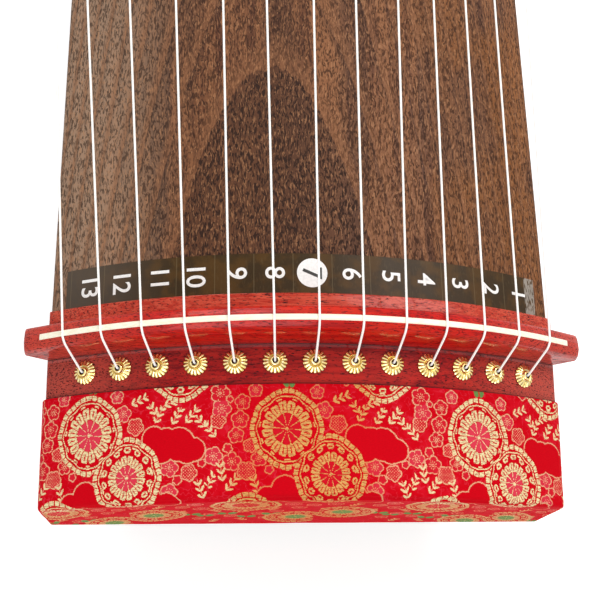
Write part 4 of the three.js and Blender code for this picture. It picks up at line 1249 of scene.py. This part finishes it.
# Middles of the numbers, along the board's arch, from string 1 to string 13
SIGN_ARCS = [113.2, 95.1, 76.2, 57.2, 38.7, 19.1, -0.3, -18, -36.1, -55.9, -73.8, -93.4, -110.9]
SIGN_ALONG = 28.8
DISC_SIDES = 64
SIGN_LIFT = 0.05
SIGN_ON_DISC_LIFT = 0.14
DISC_LIFT = 0.02
DISC_RADIUS = 7.3
DISC_STRING = 7


def on_label(arc, along, rise):
    point, normal = face_spot(CROWN_RADIUS, crown_at(along) + LABEL_THICKNESS, along, arc, slope_at(along))
    return point + normal * rise


def sign(number, arc, rise, material):
    """A number laid on the label, its top towards the player's far side."""
    text = bpy.data.curves.new(f"sign_text_{number}", "FONT")
    text.body = str(number)
    text.align_x = "CENTER"
    text.size = SIGN_HEIGHT / FONT_SHARE
    text.space_character = 0.92
    text.resolution_u = 6
    text.extrude = SIGN_THICKNESS / 2
    text.offset = 0.12
    holder = add_to_scene(f"sign_holder_{number}", text)
    bpy.context.view_layer.update()
    mesh = bpy.data.meshes.new_from_object(holder)
    bpy.data.objects.remove(holder)
    heights = [v.co.y for v in mesh.vertices]
    middle = (min(heights) + max(heights)) / 2
    for v in mesh.vertices:
        v.co = place(*on_label(arc + v.co.y - middle, SIGN_ALONG - v.co.x, rise + v.co.z))
    obj = add_to_scene(f"sign_{number:02}", mesh)
    mesh.materials.clear()
    mesh.materials.append(material)
    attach(obj, "body")


def disc(arc, rise):
    """The white disc under one of the numbers."""
    rings = []
    for radius, up in ((0.01, 0), (DISC_RADIUS, 0), (DISC_RADIUS, 1), (0.01, 1)):
        height = rise + up * SIGN_THICKNESS
        rings.append([on_label(arc + radius * math.cos(a), SIGN_ALONG + radius * math.sin(a), height)
                      for a in full_turn(DISC_SIDES)])
    add_piece("sign_disc", loft(rings), [sign_white], "body", "dark_film")


for number, arc in enumerate(SIGN_ARCS, 1):
    if number == DISC_STRING:
        disc(arc, DISC_LIFT)
        sign(number, arc, SIGN_ON_DISC_LIFT, sign_dark)
    else:
        sign(number, arc, SIGN_LIFT, sign_white)


# Brocade cover: a padded cap over the head end, open underneath and behind

COVER_THICKNESS = 1.5
COVER_OUT = SEAT_GAP + COVER_THICKNESS
HEM_LIFT = 0.6
COVER_RADIUS = PLATE_RADIUS + COVER_OUT
COVER_HALF = HEAD_HALF_WIDTH + COVER_OUT
COVER_FRONT = HEAD_END - COVER_OUT
COVER_ARC = COVER_RADIUS * math.asin(COVER_HALF / COVER_RADIUS)
SIDE_ROUND = 4
FRONT_ROUND = 1.8
REAR_ROUND = 0.7
SIDE_LENGTH = 46                   # how long a side of the cover is on the cloth
COVER_FACETS = 110
COVER_ROWS = 22
SIDE_ROWS = 18
# How far the padded surface swells and dips, and the size and share of its waves
SWELL = 0.35
SWELL_WAVES = ((26, 0.6), (9, 0.25))


def cover_point(run, along, inset):
    """A point of the cover's section; run is the way from the middle over the arch, then down the side in shares."""
    half = COVER_HALF - inset
    face = plate_face_at(along) + COVER_OUT - inset
    reach = COVER_RADIUS * math.asin(half / COVER_RADIUS)
    edge = face - sag_at(COVER_RADIUS, half)
    hem = base_at(along) + HEM_LIFT
    beyond = abs(run) - COVER_ARC
    beyond = beyond * reach / COVER_ARC if beyond < 0 else beyond * (edge - hem)
    if abs(beyond) < SIDE_ROUND:
        turn = (beyond + SIDE_ROUND) / (2 * SIDE_ROUND)
        lean = math.asin(half / COVER_RADIUS)
        x = half - math.cos(lean) * SIDE_ROUND * (1 - turn) ** 2
        z = edge + math.sin(lean) * SIDE_ROUND * (1 - turn) ** 2 - SIDE_ROUND * turn ** 2
    elif beyond < 0:
        angle = (reach + beyond) / COVER_RADIUS
        x, z = COVER_RADIUS * math.sin(angle), face - COVER_RADIUS * (1 - math.cos(angle))
    else:
        x, z = half, edge - beyond
    share = (along - COVER_REAR) / (COVER_FRONT - COVER_REAR)
    forward = END_LEAN * share * (face - z) / (face - hem)
    return Vector((math.copysign(x, run), along - forward, z))


top_runs = sorted(set(spread(-COVER_ARC, COVER_ARC, COVER_FACETS) + [
    hand * (COVER_ARC - w) for hand in (-1, 1) for w in (0.6, 1.3, 2, 3.3, 4)]))
side_shares = [0.012, 0.025, 0.045, 0.065, 0.09] + spread(0.13, 1, SIDE_ROWS - 6)
cover_runs = [-COVER_ARC - s for s in side_shares[::-1]] + top_runs + [COVER_ARC + s for s in side_shares]
cover_rows = [(COVER_REAR, REAR_ROUND), (COVER_REAR - REAR_ROUND * 0.3, REAR_ROUND * 0.3)]
cover_rows += [(along, 0) for along in spread(COVER_REAR - REAR_ROUND, COVER_FRONT + FRONT_ROUND, COVER_ROWS)]
cover_rows += [(COVER_FRONT + FRONT_ROUND * ahead, FRONT_ROUND * inset)
               for ahead, inset in ((0.55, 0.1), (0.3, 0.3), (0.1, 0.55), (0, 1))]

count = len(cover_runs)
vertices = [cover_point(run, along, inset) for along, inset in cover_rows for run in cover_runs]
cloth_runs = [math.copysign(abs(run) + max(0, abs(run) - COVER_ARC) * (SIDE_LENGTH - 1), run) for run in cover_runs]
wrap_spots = [(run, along - inset * 0.5) for along, inset in cover_rows for run in cloth_runs]
faces = [(r * count + i, r * count + i + 1, (r + 1) * count + i + 1, (r + 1) * count + i)
         for r in range(len(cover_rows) - 1) for i in range(count - 1)]
wrap_faces = len(faces)

# The end panel hangs from the front row's arch, between its two upright sides
front = (len(cover_rows) - 1) * count
sides = len(side_shares)
first, last = sides, sides + len(top_runs) - 1
panel = [[front + i for i in range(first, last + 1)]]
front_spot = COVER_FRONT - FRONT_ROUND * 0.5
end_spots = {front + first + j: (run, front_spot) for j, run in enumerate(top_runs)}
corner = vertices[front + last]
hem_z = vertices[front + count - 1].z
for k in range(sides):
    left, right = front + first - 1 - k, front + last + 1 + k
    edge = vertices[right]
    fall = (corner.z - edge.z) / (corner.z - hem_z)
    row = [left]
    for j in range(1, len(top_runs) - 1):
        top = vertices[front + first + j]
        z = top.z + (hem_z - top.z) * fall
        y = corner.y + (edge.y - corner.y) * (top.z - z) / (top.z - hem_z + 1e-6)
        vertices.append(Vector((top.x * edge.x / corner.x, y, z)))
        row.append(len(vertices) - 1)
    row.append(right)
    for j, vertex in enumerate(row):
        top = vertices[front + first + j]
        end_spots[vertex] = (top_runs[j], front_spot - (top.z - vertices[vertex].z))
    panel.append(row)
for upper, lower in zip(panel, panel[1:]):
    faces += [(upper[j], upper[j + 1], lower[j + 1], lower[j]) for j in range(len(upper) - 1)]

# The outer skin swells and dips
soft = []
for p in vertices:
    swell = sum(noise.noise(p / size) * share for size, share in SWELL_WAVES)
    away = Vector((p.x, min(0, p.y + 60) * 2, p.z - 90)).normalized()
    soft.append(p + away * (swell - 0.3) * SWELL)

# The inner skin lies inside it by the cloth's thickness; the outer one's normals may point either way
outer = add_object("cover_skin", soft, faces, [], sharp=180)
normals = [v.normal.copy() for v in outer.data.vertices]
bpy.data.objects.remove(outer)
probe = front + (first + last) // 2
middle = Vector((0, COVER_FRONT / 2, 80))
inward = -1 if normals[probe].dot(soft[probe] - middle) > 0 else 1
inner = [p + normals[i] * inward * COVER_THICKNESS for i, p in enumerate(soft)]

# An edge that only one face has lies on the rim, and a face joins the two skins there
edges = {}
for face in faces:
    for a, b in zip(face, face[1:] + face[:1]):
        key = (min(a, b), max(a, b))
        edges[key] = None if key in edges else (a, b)
total = len(soft)
all_faces = faces + [tuple(total + i for i in face[::-1]) for face in faces]
all_faces += [(pair[1], pair[0], pair[0] + total, pair[1] + total) for pair in edges.values() if pair]
cover = add_object("brocade_cap", soft + inner, all_faces, [brocade], sharp=65)
cloth = cover.data.uv_layers.new(name="cloth")
for polygon in cover.data.polygons:
    corners = [v % total for v in polygon.vertices]
    own = polygon.index % len(faces) if polygon.index < 2 * len(faces) else -1
    on_end = own >= wrap_faces if own >= 0 else all(v in end_spots for v in corners)
    for loop, v in zip(polygon.loop_indices, corners):
        cloth.uv[loop].vector = end_spots[v] if on_end else wrap_spots[v]
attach(cover, "cover")
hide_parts("brocade_cover")


# Feet: turned-out legs under the head and low ones under the tail

# Height, width and swing of a foot, in shares of its height, width and knee
FOOT_SHARES = [(0, 0.82, 0.5), (0.1, 0.96, 0.6), (0.3, 0.7, 0.1), (0.55, 0.74, 0.35), (0.8, 1, 1), (1, 1.08, 0.8)]
FOOT_SIDES = 32
KNEE_SWELL = 6
LEG_INSET = 38.6
# Place along, length and width
FRONT_LEG = (34, 34, 30)
REAR_FOOT = (RIDGE_SPAN - 44, 30, 26)


def foot_shares(height):
    """Width and swing at a height, smoothed between the listed ones."""
    rows = FOOT_SHARES
    k = max(i for i in range(len(rows) - 1) if rows[i][0] <= height)
    low, high = rows[k], rows[k + 1]
    before, after = rows[max(0, k - 1)], rows[min(len(rows) - 1, k + 2)]
    span = high[0] - low[0]
    t = (height - low[0]) / span
    result = []
    for i in (1, 2):
        rise = (high[i] - before[i]) / (high[0] - before[0]) * span if k else high[i] - low[i]
        fall = (after[i] - low[i]) / (after[0] - low[0]) * span if k < len(rows) - 2 else high[i] - low[i]
        result.append((2 * t ** 3 - 3 * t ** 2 + 1) * low[i] + (t ** 3 - 2 * t ** 2 + t) * rise
                      + (3 * t ** 2 - 2 * t ** 3) * high[i] + (t ** 3 - t ** 2) * fall)
    return result


def foot(name, hand, along, length, width):
    rings = []
    rows = [(0, 0.93), (0.015, 0.98)] + [(h, 1) for h in spread(0.04, 0.985, 22)] + [(1, 0.985)]
    for height, share in rows:
        wide, swing = foot_shares(height)
        ring = []
        for angle in full_turn(FOOT_SIDES):
            x = hand * (HEAD_HALF_WIDTH - LEG_INSET + KNEE_SWELL * swing) + width / 2 * wide * share * math.cos(angle)
            y = along + length / 2 * wide * share * math.sin(angle)
            ring.append((x, y, height * (base_at(y) - SEAT_GAP)))
        rings.append(ring)
    add_piece(name + "_turned", loft(rings), [red_wood], "body", "red_hardwood", [name], sharp=60)


for side, hand in (("right", 1), ("left", -1)):
    foot(f"front_leg_{side}", hand, *FRONT_LEG)
    foot(f"rear_foot_{side}", hand, *REAR_FOOT)


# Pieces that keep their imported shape

def finish(node, material):
    obj = bpy.data.objects[node]
    obj.data.materials.clear()
    obj.data.materials.append(material)


finish("back_board", scorched_back)
for node in ("head_brace", "middle_brace", "tail_brace", "head_end_board"):
    finish(node, pale_wood)
for node in ("mouth_rim", "tongue"):
    finish(node, red_wood)


# Floor, lights and camera

def make_world():
    """A soft light that looks white to the camera and in reflections."""
    world = bpy.data.worlds.new("studio")
    bpy.context.scene.world = world
    world.use_nodes = True
    g = Graph(world.node_tree)
    g.nodes.clear()
    camera_ray, glossy_ray, transmission_ray = (
        g.node("LightPath", output=f"Is {kind} Ray") for kind in ("Camera", "Glossy", "Transmission"))
    seen = camera_ray.most(glossy_ray.most(transmission_ray))
    soft_light = g.node("Background", (1, 0.99, 0.97, 1), 0.5)
    white = g.node("Background", (1, 1, 1, 1), 1)
    g.feed(g.node("MixShader", seen, soft_light, white), g.nodes.new("ShaderNodeOutputWorld").inputs["Surface"])


make_world()

FLOOR_REACH = 4                    # in metres, as everything below
floor_mesh = bpy.data.meshes.new("floor")
floor_corners = [(x * FLOOR_REACH, y * FLOOR_REACH, 0) for x, y in ((-1, -1), (1, -1), (1, 1), (-1, 1))]
floor_mesh.from_pydata(floor_corners, [], [(0, 1, 2, 3)])
floor = add_to_scene("floor", floor_mesh)
floor_look = Look("floor_white", roughness=0.95, Specular_IOR_Level=0)
seen = floor_look.node("LightPath", output=0)
floor_look.set(Base_Color=(0.92, 0.92, 0.92, 1), Emission_Color=(1, 1, 1, 1), Emission_Strength=seen * 0.48)
floor_mesh.materials.append(floor_look.material)


def lamp(name, power, spot, aim, width, height):
    light = bpy.data.lights.new(name, "AREA")
    light.shape = "RECTANGLE"
    light.size, light.size_y = width, height
    light.energy = power
    obj = add_to_scene(name, light)
    obj.location = spot
    obj.rotation_euler = (Vector(spot) - Vector(aim)).to_track_quat("Z", "Y").to_euler()


lamp("key", 12, (0.75, -0.2, 1.3), (0, -0.8, 0.15), 0.7, 0.7)
lamp("front", 9, (-0.3, -2.1, 0.9), (0, -0.8, 0.15), 0.9, 0.6)
lamp("back", 11, (-0.5, 0.9, 1.2), (0, -0.6, 0.15), 0.8, 0.5)

camera = bpy.data.cameras.new("camera")
camera.lens = 59.99
camera.shift_y = 0.0185
camera.clip_start = 0.01
# Its axes to the right, up and back, and its place
pose = Matrix((
    (0.99480624, -0.0179114, 0.10019841),
    (-0.01445665, 0.94955328, 0.31327236),
    (-0.10075487, -0.31309383, 0.94436259),
)).transposed().to_4x4()
pose.translation = (-0.05389, -0.97309, 0.58718)
viewer = add_to_scene("camera", camera)
viewer.matrix_world = pose
bpy.context.scene.camera = viewer
bpy.context.scene.view_settings.view_transform = "Standard"
